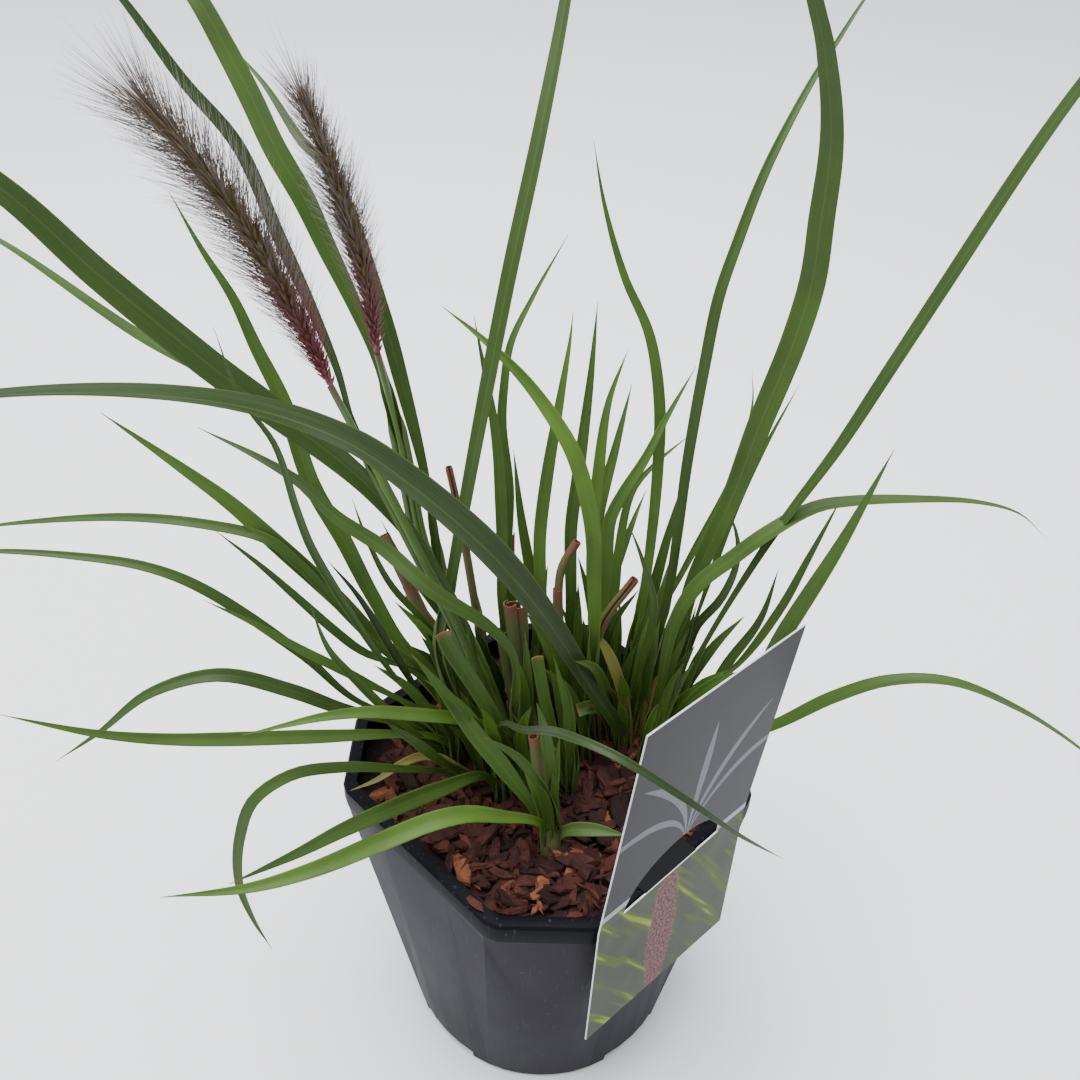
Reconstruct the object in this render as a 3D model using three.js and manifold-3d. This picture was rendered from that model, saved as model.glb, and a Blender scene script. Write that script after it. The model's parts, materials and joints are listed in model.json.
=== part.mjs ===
// Chinese fountain grass in a black nursery pot, in millimetres, +Z up.
// The origin is the middle of the pot's flat bottom, and -Y is the side that is seen first.
import * as THREE from 'three';
import { mergeVertices } from 'three/addons/utils/BufferGeometryUtils.js';
import Module from 'manifold-3d';

// Driving dimensions of the pot: a square with cut corners at the rim, a circle at the foot
const rimHeight = 153;
const longFlat = 75;
const shortFlat = 85.2;
const footRadius = 62;
const wall = 1.7;
const floorThickness = 2;
const lipHeight = 9;
const lipWidth = 5.5;
const lipBottom = rimHeight - lipHeight;
const facetDepth = 2.5;
const facetSlope = 0.119;
const facetFoot = 85;
const drainHeight = 7;
const drainWidth = 30;

// Filling: potting soil, and chipped bark on top of it
const gap = 0.35;
const soilTop = 131.7;
const barkTop = 140;
const barkChipCount = 54;
const ground = 143;
const rootDepth = 14;
const footHoleRadius = 5;

// Picture card that hangs over the rim
const cardWidth = 86;
const cardHeight = 173;
const cardThickness = 0.7;
const cardDistance = 75.8;
const cardTurn = -45;
const cardTilt = 3.8;
const cardFold = 69;
const cardMiddle = 48;
const cardLeanBelow = 1.4;
const cardLeanAbove = 3.5;
const slotWidth = 56;
const slotHeight = 22;
const tongueWidth = 30;
const tongueDrop = 10;

// Leaves, stems and plumes
const leafThickness = 1;
const bladeStep = 36;
const sheathRadius = 2.3;
const sheathThickness = 3.4;
const plumeCore = 3.2;
const bristleRadius = 0.5;
const youngLeafCount = 16;

const wasm = await Module();
wasm.setup();

const degrees = THREE.MathUtils.degToRad;
const vec = (x, y, z) => new THREE.Vector3(x, y, z);
const mix = THREE.MathUtils.lerp;
const smooth = THREE.MathUtils.smoothstep;

// Where the light comes from: the upper faces of the blades look that way
const light = vec(0, -0.6, 0.8);

// Seeded random numbers, so that every run gives the same plant
function randomStream(seed) {
  let state = seed;
  return () => {
    state = (state + 0x6d2b79f5) | 0;
    let mixed = Math.imul(state ^ (state >>> 15), 1 | state);
    mixed = (mixed + Math.imul(mixed ^ (mixed >>> 7), 61 | mixed)) ^ mixed;
    return ((mixed ^ (mixed >>> 14)) >>> 0) / 4294967296;
  };
}

// A closed skin over rings of equal count, each ring counter-clockwise about the way it runs.
// The diagonals alternate, so the two faces of a thin blade are split alike and never cross.
function skinOver(rings) {
  const count = rings[0].length;
  const positions = rings.flat().flatMap((p) => [p.x, p.y, p.z]);
  const faces = [];
  for (let ring = 0; ring < rings.length - 1; ring += 1) {
    for (let side = 0; side < count; side += 1) {
      const next = (side + 1) % count;
      const a = ring * count + side;
      const b = ring * count + next;
      const c = b + count;
      const d = a + count;
      if (side % 2 === 0) faces.push(a, b, c, a, c, d);
      else faces.push(a, b, d, b, c, d);
    }
  }
  const last = (rings.length - 1) * count;
  for (let side = 1; side < count - 1; side += 1) {
    faces.push(0, side + 1, side);
    faces.push(last, last + side, last + side + 1);
  }
  const geometry = new THREE.BufferGeometry();
  geometry.setAttribute('position', new THREE.Float32BufferAttribute(positions, 3));
  geometry.setIndex(faces);
  return geometry;
}

function toSolid(geometry) {
  const bare = geometry.clone();
  bare.deleteAttribute('normal');
  bare.deleteAttribute('uv');
  const merged = mergeVertices(bare, 1e-4);
  return new wasm.Manifold(new wasm.Mesh({
    numProp: 3,
    vertProperties: new Float32Array(merged.attributes.position.array),
    triVerts: new Uint32Array(merged.index.array),
  }));
}

function joinAll(solids) {
  return solids.reduce((whole, solid) => whole.add(solid));
}

// Keeps the largest body, so that a loose scrap left by a cut is dropped
function largestBody(solid) {
  const bodies = solid.decompose();
  return bodies.reduce((best, body) => (body.volume() > best.volume() ? body : best));
}

function toMesh(name, solid, finish) {
  const { numProp, vertProperties, triVerts } = solid.getMesh();
  const positions = new Float32Array((vertProperties.length / numProp) * 3);
  for (let i = 0; i < positions.length / 3; i += 1) {
    for (let axis = 0; axis < 3; axis += 1) {
      positions[3 * i + axis] = vertProperties[numProp * i + axis];
    }
  }
  const geometry = new THREE.BufferGeometry();
  geometry.setAttribute('position', new THREE.BufferAttribute(positions, 3));
  geometry.setIndex(new THREE.BufferAttribute(new Uint32Array(triVerts), 1));
  geometry.computeVertexNormals();
  const mesh = new THREE.Mesh(geometry, new THREE.MeshStandardMaterial(finish));
  mesh.name = name;
  return mesh;
}

// Tillers: each stands on its own foot [x, y] in the bark and bears its leaves
const tillers = [
  {
    name: 'tiller_left_tall', foot: [-28, 6],
    leaves: [
      { heading: 182, width: 10.5, sheath: 85, turn: 10, path: [[12, 88, -3], [39, 140, -4],
        [91, 194, -2], [120, 225, -2], [143, 254], [190, 290], [238, 302]] },
      { heading: 172, width: 6, sheath: 90, turn: -30, path: [[14, 86, -3], [66, 160, -3],
        [122, 192, -3], [166, 222, -5], [196, 236, -6]] },
      { heading: 66, width: 6.5, sheath: 90, turn: 20, neck: 0.8, path: [[-7, 64, 16], [0, 91, 14],
        [8, 126, 11], [20, 163, 9], [40, 209, 8], [64, 253, 8], [89, 290, 11], [112, 330, 15],
        [130, 368, 20]] },
    ],
  },
  {
    name: 'tiller_left_back', foot: [-36, 18],
    leaves: [
      { heading: 172, width: 7.5, sheath: 40, neck: 0.7, path: [[16, 32], [37, 51, -1], [53, 74, 1],
        [73, 99, 3], [92, 118, 2], [109, 131, 1], [139, 153]] },
      { heading: 176, width: 4.5, sheath: 38, path: [[12, 28], [36, 50], [66, 93], [78, 105],
        [100, 110], [134, 111], [186, 103], [212, 96]] },
      { heading: 178, width: 4, sheath: 40, path: [[14, 34], [42, 54, 5], [52, 64, 5], [66, 80, 4],
        [80, 96, 3], [96, 113, 3]] },
    ],
  },
  {
    name: 'tiller_left_low', foot: [-37, 4, 7.2],
    leaves: [
      { heading: 192, width: 6, sheath: 20, path: [[20, 24], [50, 42], [68, 55], [94, 68], [120, 63],
        [143, 45], [162, 32]] },
      { heading: 182, width: 4.5, sheath: 30, path: [[18, 22], [44, 38], [64, 62, -2], [99, 98, -1],
        [118, 108, -1], [144, 113, -1], [174, 115, -1], [204, 112, -1]] },
      { heading: 198, width: 6, sheath: 14, path: [[3, 9], [12, 19], [30, 26], [62, 34], [114, 48],
        [140, 59], [170, 78]] },
      { heading: 186, width: 4, sheath: 36, path: [[16, 30], [40, 52], [62, 70], [80, 86], [96, 98]] },
      { heading: 180, width: 3.5, sheath: 30, path: [[15, 31, 1], [29, 57, 2], [42, 88, 3],
        [53, 120, 5], [56, 138, 7], [60, 169, 10], [68, 190, 14], [72, 217, 17]] },
      { heading: 176, width: 3.5, sheath: 26, path: [[19, 38, -3], [29, 62, -3], [40, 88, -3],
        [51, 107, -2]] },
      { heading: 188, width: 4, sheath: 16, path: [[18, 22, 4], [30, 38, 4], [41, 55, 3], [51, 74, 3],
        [56, 96, 2]] },
    ],
  },
  {
    name: 'tiller_left_inner', foot: [-24, 23],
    leaves: [
      { heading: 150, width: 7.5, sheath: 40, neck: 0.7, path: [[16, 20, 4], [39, 37, 10], [58, 59, 8],
        [73, 82, 6], [88, 104, 5], [103, 137], [115, 158, -1], [125, 177, -2], [137, 195, -1],
        [150, 216, -1]] },
      { heading: 160, width: 3, sheath: 40, path: [[14, 35, 4], [29, 61, 7], [41, 80, 11],
        [49, 102, 13], [54, 123, 14]] },
      { heading: 140, width: 3, sheath: 40, path: [[13, 36, 2], [25, 61, 8], [35, 83, 15],
        [42, 108, 21]] },
    ],
  },
  {
    name: 'tiller_middle_left', foot: [-8, -5],
    leaves: [
      { heading: 160, width: 6, sheath: 60, path: [[4, 42, 6], [4, 79, 9], [12, 93, 12], [34, 109, 17],
        [54, 120, 14], [72, 131, 16], [87, 141, 14], [104, 146, 12], [133, 151, 9]] },
      { heading: 200, width: 5.5, sheath: 22, path: [[9, 28], [25, 42, -2], [45, 51, -3], [65, 57, -5],
        [83, 59, -6], [99, 58, -7], [113, 57, -8]] },
    ],
  },
  {
    name: 'tiller_low_front_left', foot: [-27, -6, 6],
    leaves: [
      { heading: 212, width: 5, sheath: 12, turn: 30, path: [[16, 14], [41, 31], [62, 44], [82, 51],
        [97, 46], [105, 29], [109, 4], [107, -21], [102, -47]] },
      { heading: 196, width: 4.5, sheath: 26, path: [[11, 13, 5], [19, 25, 8], [29, 39, 8],
        [41, 51, 4]] },
      { heading: 215, width: 4, sheath: 6, path: [[10, 12], [22, 22, -7], [34, 24, -8], [45, 20, -9],
        [56, 15, -14]] },
    ],
  },
  {
    name: 'tiller_middle_front', foot: [10, -12],
    leaves: [
      { heading: 120, width: 5, sheath: 30, neck: 0.9, cut: true, path: [[3, 16, 3], [5, 27, 5],
        [8, 50, 9], [11, 76, 12]] },
      { heading: 110, width: 3.2, sheath: 26, neck: 0.8, path: [[1, 23, -1], [4, 47, 2], [8, 75, 7]] },
      { heading: 150, width: 3.5, sheath: 20, neck: 0.8, path: [[5, 10, 4], [12, 30, 9],
        [20, 50, 15]] },
      { heading: 140, width: 3, sheath: 14, neck: 0.8, path: [[2, 6, 5], [4, 25, 10], [7, 44, 14]] },
    ],
  },
  {
    name: 'tiller_kinked', foot: [-19, -14],
    leaves: [
      { heading: 225, width: 7, sheath: 8, turn: 20, path: [[10, 20], [34, 31], [54, 38], [78, 45],
        [98, 49], [124, 56]] },
      { heading: 150, width: 6.5, sheath: 24, neck: 0.9, cut: true, path: [[2, 19], [3, 43, 1],
        [10, 62, 4], [19, 82, 8], [21, 90, 9]] },
    ],
  },
  {
    name: 'tiller_centre_left', foot: [-9, 20],
    leaves: [
      { heading: 90, width: 5, sheath: 55, neck: 0.8, path: [[6, 40, 8], [10, 71, 12], [14, 89, 12],
        [20, 115, 13], [27, 139, 15], [40, 186, 24]] },
      { heading: 75, width: 4, sheath: 70, neck: 0.8, path: [[10, 60, 10], [14, 87, 14], [22, 116, 16],
        [31, 141, 22], [37, 155, 23], [45, 169, 23], [58, 184, 18], [76, 204, 9]] },
    ],
  },
  {
    name: 'tiller_centre_inner', foot: [0, 26],
    leaves: [
      { heading: 90, width: 5.5, sheath: 50, neck: 0.85, path: [[4, 40, 3], [8, 74, 5], [16, 94, 6],
        [26, 116, 4], [42, 148, -1], [54, 166, -4], [62, 175, -5]] },
      { heading: 90, width: 5, sheath: 34, neck: 0.9, path: [[10, 50, 4], [20, 64, 8], [32, 92, 14],
        [44, 120, 18]] },
    ],
  },
  {
    name: 'tiller_centre', foot: [12, 29],
    leaves: [
      { heading: 90, width: 5.5, sheath: 46, neck: 0.85, path: [[4, 34, 3], [10, 65, 4], [22, 94, 5],
        [30, 113, 3], [50, 150, -1], [66, 176, -3]] },
    ],
  },
  {
    name: 'tiller_centre_right', foot: [21, 31],
    leaves: [
      { heading: 90, width: 5.5, sheath: 60, neck: 0.85, path: [[5, 50, 3], [10, 86, 5], [22, 117, 4],
        [34, 146, 1], [44, 165, -6]] },
      { heading: 90, width: 5.5, sheath: 50, neck: 0.9, path: [[8, 46], [16, 81, 3], [24, 95, 3],
        [42, 121, -4], [58, 142, -10]] },
      { heading: 68, width: 4.5, sheath: 34, neck: 0.8, path: [[9, 47, 4], [38, 82, 2], [54, 93, 1]] },
    ],
  },
  {
    name: 'tiller_right_middle', foot: [29, 23],
    leaves: [
      { heading: 60, width: 5.5, sheath: 36, neck: 0.8, path: [[1, 30, 4], [2, 54, 9], [10, 87, 14],
        [15, 104, 16], [21, 114, 14], [31, 127, 10], [41, 139, 8], [59, 158, 4]] },
      { heading: 62, width: 4, sheath: 40, neck: 0.8, path: [[6, 49, 7], [11, 66, 9], [21, 85, 13],
        [35, 106, 15], [44, 116, 10], [62, 124, 2]] },
      { heading: 70, width: 5, sheath: 20, neck: 0.9, path: [[-1, 39, 7], [0, 64, 4], [4, 83, -5]] },
    ],
  },
  {
    name: 'tiller_arching_left', foot: [15, 12],
    leaves: [
      { heading: 140, width: 6.5, sheath: 70, turnEnd: 35, neck: 0.85, path: [[0, 50, -4], [2, 94, -4],
        [5, 122, -4], [17, 145, -7], [29, 158, -7], [44, 170, -6], [63, 180, -4], [81, 187, -2]] },
    ],
  },
  {
    name: 'tiller_broad_left', foot: [33, 15],
    leaves: [
      { heading: 205, width: 15, sheath: 12, turn: -10, turnEnd: -62, path: [[4, 14, 3], [20, 48, 3],
        [41, 92, 3], [64, 131, 3], [93, 169, 2], [113, 190, 2], [142, 208, 1], [183, 221], [224, 226],
        [264, 222], [292, 210]] },
      { heading: 200, width: 6, sheath: 8, neck: 0.9, cut: true, path: [[6, 20, 1], [15, 31, 1],
        [23, 31, 1]] },
    ],
  },
  {
    name: 'tiller_back_right', foot: [31, 31],
    leaves: [
      { heading: 90, width: 5, sheath: 60, neck: 0.8, path: [[4, 40, -4], [10, 70, -8], [20, 94, -10],
        [30, 116, -11], [38, 144, -10], [44, 172, -4], [49, 194, 7], [56, 220, 16], [62, 242, 21]] },
      { heading: 50, width: 5, sheath: 30, neck: 0.8, path: [[10, 36], [19, 64], [26, 90], [34, 116]] },
    ],
  },
  {
    name: 'tiller_right_tall', foot: [37, 23],
    leaves: [
      { heading: 50, width: 4.5, sheath: 60, neck: 0.9, path: [[8, 30], [18, 69], [20, 100], [21, 136],
        [25, 177], [29, 203], [36, 219], [50, 244], [73, 269], [86, 279], [102, 291], [122, 302]] },
      { heading: 62, width: 3, sheath: 40, path: [[14, 50], [33, 80, -6], [60, 112, -12], [81, 133, -9],
        [90, 143, -4]] },
      { heading: 120, width: 3.5, sheath: 30, neck: 0.9, path: [[-5, 46, 2], [-9, 81, 1], [-6, 107, 7],
        [-3, 125, 13]] },
    ],
  },
  {
    name: 'tiller_right_broad', foot: [45, 22],
    leaves: [
      { heading: 33, width: 10, sheath: 40, turn: 10, neck: 0.6, path: [[10, 24], [14, 49, 3],
        [19, 75, 5], [26, 98, 4], [33, 119, 3], [41, 148, 3], [51, 183, 2], [56, 204, 3], [55, 229, 3],
        [54, 250, 3], [51, 265, 3], [43, 287, 3], [32, 310, 3], [25, 345, 3], [29, 384, 3]] },
      { heading: 46, width: 4, sheath: 24, path: [[11, 23, -2], [19, 41, -2], [24, 53, -2],
        [33, 65, -6], [44, 76, -4], [50, 84, 1], [54, 96, 12]] },
      { heading: 36, width: 3, sheath: 50, path: [[21, 48, 3], [44, 103, 9], [60, 128, 12],
        [75, 151, 13]] },
      { heading: 60, width: 3, sheath: 20, path: [[5, 27, -5], [10, 45, -7], [15, 71, -9]] },
    ],
  },
  {
    name: 'tiller_right_long', foot: [46, 13],
    leaves: [
      { heading: 12, width: 5.5, sheath: 50, turn: 30, path: [[10, 33], [18, 62], [38, 112], [46, 128],
        [59, 153], [73, 186], [86, 215, 1], [105, 260, 1], [117, 284, 1], [158, 352, 1],
        [198, 393, 1]] },
      { heading: 8, width: 7, sheath: 20, turnEnd: 50, path: [[1, 42, 1], [5, 74, 4], [13, 92, 4],
        [24, 104, 3], [37, 117, 2], [54, 127, 3], [68, 129, 3], [90, 130, 1], [118, 127, 1],
        [138, 120, 1], [153, 107]] },
      { heading: 20, width: 4, sheath: 40, path: [[16, 30], [37, 37, 3], [57, 61, 7], [68, 86, 9],
        [79, 115, 10]] },
    ],
  },
  {
    name: 'tiller_right_low', foot: [45, 4, 6],
    leaves: [
      { heading: 10, width: 7, sheath: 20, neck: 0.7, path: [[20, 20], [43, 43, 4], [52, 68, 5],
        [66, 109, 4], [72, 131, 3], [80, 156, 4]] },
      { heading: 25, width: 4.5, sheath: 16, path: [[10, 14], [24, 25, 3], [36, 44, 5], [48, 65, 4],
        [54, 91, 5]] },
      { heading: -10, width: 6.5, sheath: 12, turn: 20, turnEnd: 60, path: [[8, 10], [30, 22],
        [49, 38, -1], [69, 58, -1], [88, 71, -1], [110, 75, -1], [137, 67, -2], [163, 52, -2],
        [190, 31, -2]] },
    ],
  },
  {
    name: 'tiller_front', foot: [2, -38, 8.5],
    stems: [
      { heading: 150, radius: 4, endRadius: 2.8, hollow: true, path: [[6, 16, -4], [11, 31, -7],
        [15, 46, -9]] },
    ],
    leaves: [
      { heading: 150, width: 7.5, sheath: 10, path: [[6, 12], [20, 28], [36, 43], [52, 60], [66, 72]] },
      { heading: 200, width: 7.5, sheath: 6, path: [[5, 14], [22, 26, 1], [36, 34, 2], [50, 36, 3],
        [69, 32, 3], [96, 26, 3], [119, 24, 2], [149, 29]] },
      { heading: -10, width: 6, sheath: 3, path: [[5, 7, 1], [16, 11, 1], [30, 11, 1]] },
    ],
  },
  {
    name: 'tiller_front_right', foot: [-10, -15],
    leaves: [
      { heading: -90, width: 3.2, sheath: 30, path: [[0, 22, -4], [5, 47, -10], [18, 64, -7],
        [36, 80, 0], [66, 111, 13], [78, 115, 29], [83, 102, 51], [78, 79, 71], [63, 46, 94]] },
    ],
  },
];

// Flowering culms: a stem, and the leaves whose sheaths wrap it
const culms = [
  {
    name: 'culm_tall', foot: [-17, -4],
    stems: [
      { heading: 164, radius: 2, endRadius: 1.3, path: [[18, 76, 3], [33, 115, 5], [44, 139, 4],
        [56, 163, 2], [63, 184, 5]] },
    ],
    leaves: [
      { heading: 164, width: 5, sheath: 172, turn: 20, path: [[18, 76, 3], [33, 115, 5], [44, 139, 4],
        [57, 164, 1], [65, 185, -5], [74, 204, -9], [86, 228, -13], [98, 256, -15], [114, 274, -15],
        [132, 297, -16], [156, 322, -17]] },
    ],
  },
  {
    name: 'culm_short', foot: [-13, 5],
    stems: [
      { heading: 142, radius: 2, endRadius: 1.2, path: [[18, 40], [38, 74, 1], [51, 93, 1],
        [58, 135, 2], [62, 158, 3], [64, 180, 6]] },
    ],
    leaves: [
      { heading: 142, width: 9, sheath: 172, turn: 20, path: [[18, 40], [38, 74, 1], [51, 93, 1],
        [58, 135, 2], [63, 158, 2], [72, 176], [83, 193, -1], [95, 209, -2], [105, 225, -2],
        [117, 241, -1], [128, 256, -2], [139, 271, -2], [152, 288, -1], [185, 309, -1], [222, 322]] },
      { heading: 135, width: 6.5, sheath: 110, path: [[22, 36], [48, 68, -2], [60, 121, -3],
        [71, 156, -3], [80, 185, -2], [103, 233], [120, 240], [140, 255], [163, 266]] },
    ],
  },
];

// Plumes: the axis from the end of the culm, and how far the bristles spread along it
const plumes = [
  {
    name: 'plume_tall', foot: [-17, -4], heading: 164, seed: 21, bristles: 70,
    path: [[63, 185, 5], [68, 205, 9], [74, 225, 13], [80, 242, 16], [89, 257, 18], [97, 269, 20],
      [105, 277, 20]],
    spread: [7, 20, 26, 32, 32, 31, 28],
  },
  {
    name: 'plume_short', foot: [-13, 5], heading: 142, seed: 22, bristles: 52,
    path: [[64, 181, 6], [65, 202, 7], [68, 220, 8], [73, 237, 9], [77, 250, 10], [83, 262, 10],
      [86, 267, 10]],
    spread: [5, 12, 18, 22, 21, 18, 14],
  },
];

// Cut stems of last year, hollow at the end
const cutStems = [
  {
    name: 'cut_stem_left_tall', foot: [-25, 31], heading: 172, radius: 1.9, endRadius: 1.6,
    path: [[7, 60], [14, 117], [17, 135]],
  },
  {
    name: 'cut_stem_left', foot: [-28, 14], heading: 144, radius: 2.6, endRadius: 2.5,
    path: [[6, 12], [24, 42], [53, 92]],
  },
  {
    name: 'cut_stem_low', foot: [-38, 27], heading: 164, radius: 2.6, endRadius: 2.5,
    path: [[16, 20], [30, 37]],
  },
  {
    name: 'cut_stem_back', foot: [-18, 47], heading: 90, radius: 1.9, endRadius: 1.7,
    path: [[0, 50], [0, 93]],
  },
  {
    name: 'cut_stem_centre', foot: [8, 18], heading: 90, radius: 2.3, endRadius: 1.9,
    path: [[4, 33, 2], [7, 64, 5], [10, 90, 5], [12, 103, -1]],
  },
  {
    name: 'cut_stem_leaning', foot: [22, 16], heading: 20, radius: 2.3, endRadius: 2.1,
    path: [[-3, 50, 4], [0, 69, 4], [12, 91, 2]],
  },
];

// Flat bundle of cut sheaths in the middle
const bundles = [
  {
    name: 'cut_sheaths', foot: [-3, 5, 6], heading: 142, width: 14, thickness: 5,
    path: [[12, 32], [16, 60], [19, 82]],
  },
];

const finishes = {
  pot: { color: 0x3a3a3f, roughness: 0.4, metalness: 0 },
  soil: { color: 0x2a1d16, roughness: 1, metalness: 0 },
  bark: { color: 0x6b2f22, roughness: 0.9, metalness: 0 },
  paleBark: { color: 0xa5562c, roughness: 0.9, metalness: 0 },
  card: { color: 0x74757a, roughness: 0.45, metalness: 0 },
  leaf: { color: 0x4f7326, roughness: 0.55, metalness: 0 },
  paleLeaf: { color: 0x6d9a2c, roughness: 0.55, metalness: 0 },
  deepLeaf: { color: 0x44623a, roughness: 0.55, metalness: 0 },
  plume: { color: 0x5a3f3c, roughness: 0.8, metalness: 0 },
  stub: { color: 0x7a6038, roughness: 0.8, metalness: 0 },
};

// Pot outline: long flats face the diagonals, short ones face +X, +Y, -X and -Y
const eighth = [6, 12, 15.5, 22, 30, 38];
const outlineAngles = [0, 90, 180, 270].flatMap((quarter) => [
  quarter,
  ...eighth.map((angle) => quarter + angle),
  quarter + 45,
  ...eighth.map((angle) => quarter + 90 - angle).reverse(),
]);

// Distance from the middle to the rim's outline, drawn in by an inset
function rimDistance(angle, inset) {
  let nearest = Infinity;
  for (let side = 0; side < 8; side += 1) {
    const flat = (side % 2 === 0 ? shortFlat : longFlat) - inset;
    const along = Math.cos(degrees(angle - side * 45));
    if (along > 0.2) nearest = Math.min(nearest, flat / along);
  }
  return nearest;
}

function outlineRing(height, distanceAt) {
  return outlineAngles.map((angle) => {
    const distance = distanceAt(angle);
    return vec(distance * Math.cos(degrees(angle)), distance * Math.sin(degrees(angle)), height);
  });
}

// Straight band with the rim's outline, as the lip is
function rimBand(inset, bottom, top) {
  return toSolid(skinOver([bottom, top].map((height) =>
    outlineRing(height, (angle) => rimDistance(angle, inset)))));
}

// Tapered body from the round foot to the rim's outline, drawn in by an inset
function taperedBody(inset, bottom, top) {
  let body = toSolid(skinOver([0, lipBottom].map((height) => outlineRing(height, (angle) =>
    mix(footRadius, rimDistance(angle, 0), height / lipBottom) - inset))));
  for (const turn of [0, 90, 180, 270]) body = body.subtract(facetCut(inset, turn));
  const slab = new THREE.BoxGeometry(400, 400, top - bottom);
  slab.translate(0, 0, (top + bottom) / 2);
  return body.intersect(toSolid(slab));
}

// Wedge that cuts the flat U-shaped facet below a short side
function facetCut(inset, turn, top = lipBottom + 1) {
  const facetSpread = 45;
  const rings = [facetFoot - 30, top].map((height) => {
    const plane = shortFlat - facetDepth - inset - facetSlope * (lipBottom - height);
    return [[plane, -1], [plane + 40, -1], [plane + 40, 1], [plane, 1]].map(([x, side]) =>
      vec(x, side * facetSpread, height));
  });
  const wedge = skinOver(rings);
  wedge.rotateZ(degrees(turn));
  return toSolid(wedge);
}

function buildPot() {
  const body = (angle, height) => mix(footRadius, rimDistance(angle, 0), height / lipBottom);
  let pot = toSolid(skinOver([
    outlineRing(0, (angle) => body(angle, 0) - 1.2),
    outlineRing(2.5, (angle) => body(angle, 2.5)),
    outlineRing(lipBottom, (angle) => rimDistance(angle, 0)),
    outlineRing(rimHeight - 1, (angle) => rimDistance(angle, 0)),
    outlineRing(rimHeight, (angle) => rimDistance(angle, 1)),
  ]));
  for (const turn of [0, 90, 180, 270]) pot = pot.subtract(facetCut(0, turn, lipBottom - 0.4));
  const inside = taperedBody(wall, floorThickness, lipBottom - 0.4)
    .add(rimBand(lipWidth, lipBottom - 1.4, rimHeight + 2));
  const notches = joinAll([45, 135, 225, 315].map(drainNotch));
  return pot.subtract(inside).subtract(notches);
}

// Drain opening at the corner of wall and floor
function drainNotch(facing) {
  const across = 2 * footRadius * Math.tan(degrees(drainWidth / 2));
  const opening = new THREE.BoxGeometry(26, across, 2 * drainHeight);
  opening.translate(footRadius, 0, 0);
  opening.rotateZ(degrees(facing));
  return toSolid(opening);
}

// Blind or through hole for the foot of a tiller
function footHole([x, y, radius = footHoleRadius], bottom) {
  const hole = new THREE.CylinderGeometry(radius, radius, 40, 6);
  hole.rotateX(Math.PI / 2);
  hole.translate(x, y, bottom + 20);
  return toSolid(hole);
}

function buildRootBall() {
  const ball = taperedBody(wall + gap, floorThickness + gap, soilTop);
  return ball.subtract(joinAll(feet.map((foot) => footHole(foot, ground - rootDepth - gap))));
}

// An irregular five-sided chip of bark, lying nearly flat
function barkChip(random, size) {
  const spin = random() * 360;
  const wide = mix(0.4, 0.62, random());
  const thick = mix(2.4, 4.6, random());
  const corners = [0, 1, 2, 3, 4].map((corner) => {
    const angle = degrees(corner * 72 + mix(-20, 20, random()));
    const reach = (size / 2) * mix(0.8, 1.1, random());
    return [reach * Math.cos(angle), reach * Math.sin(angle) * wide];
  });
  const chip = skinOver([-thick / 2, thick / 2].map((height) =>
    corners.map(([x, y]) => vec(x * (height > 0 ? 0.82 : 1), y * (height > 0 ? 0.8 : 1), height))));
  chip.rotateX(degrees(mix(-24, 24, random())));
  chip.rotateY(degrees(mix(-18, 18, random())));
  chip.rotateZ(degrees(spin));
  return chip;
}

// Bark mulch: a bed with chips standing out of it, clear of stems, low leaves and the card
function buildBark() {
  const random = randomStream(7);
  const chips = [];
  for (let tries = 0; tries < 900 && chips.length < barkChipCount; tries += 1) {
    const angle = random() * 360;
    const distance = Math.sqrt(random()) * rimDistance(angle, 9);
    const size = mix(12, 24, random() ** 1.5);
    const chip = barkChip(random, size);
    const x = distance * Math.cos(degrees(angle));
    const y = distance * Math.sin(degrees(angle));
    const rise = mix(0.5, 4, random());
    const nearLeaf = leafPoints.some((point) => point.z < barkTop + 16
      && Math.hypot(point.x - x, point.y - y) < size / 2 + 5);
    const nearFoot = feet.some((foot) => Math.hypot(foot[0] - x, foot[1] - y) < size / 2 + 4);
    const nearCard = (x - y) * Math.SQRT1_2 > 55 && Math.abs(x + y) * Math.SQRT1_2 < 30;
    const onOther = chips.some((other) => Math.hypot(other.x - x, other.y - y) < 6.5);
    if (nearLeaf || nearFoot || nearCard || onOther) continue;
    chip.translate(x, y, barkTop + rise);
    chips.push({ x, y, solid: toSolid(chip) });
  }
  const sliver = barkChip(random, 24);
  sliver.scale(0.28, 0.9, 0.8);
  sliver.translate(2, -68, barkTop + 5);
  const bed = joinAll([
    taperedBody(wall + gap, soilTop + gap, barkTop),
    ...chips.map((chip) => chip.solid),
    toSolid(sliver),
  ]);
  const inside = joinAll([
    taperedBody(wall + gap, soilTop + gap - 0.05, lipBottom - gap - 0.5),
    rimBand(lipWidth + gap + 0.1, lipBottom - gap - 1.2, rimHeight + 2),
  ]);
  const holes = joinAll(feet.map((foot) => footHole(foot, soilTop - 5)));
  return largestBody(bed.intersect(inside).subtract(holes));
}

// Loose chips on the lip: where each lies, its size and its turn
const looseChips = [
  { name: 'loose_chip_front', at: [-27, -75.5], size: 11, turn: -38 },
  { name: 'loose_chip_left', at: [-75, 27], size: 9, turn: 40 },
];

function buildLooseChip({ at, size, turn }) {
  const chip = new THREE.BoxGeometry(size, size * 0.34, 1.6, 2, 1, 1);
  const position = chip.attributes.position;
  for (let i = 0; i < position.count; i += 1) {
    const end = Math.abs(position.getX(i)) / (size / 2);
    position.setY(i, position.getY(i) * (1 - 0.45 * end));
  }
  chip.rotateZ(degrees(turn));
  chip.translate(at[0], at[1], rimHeight + gap + 0.8);
  return toSolid(chip);
}

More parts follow.
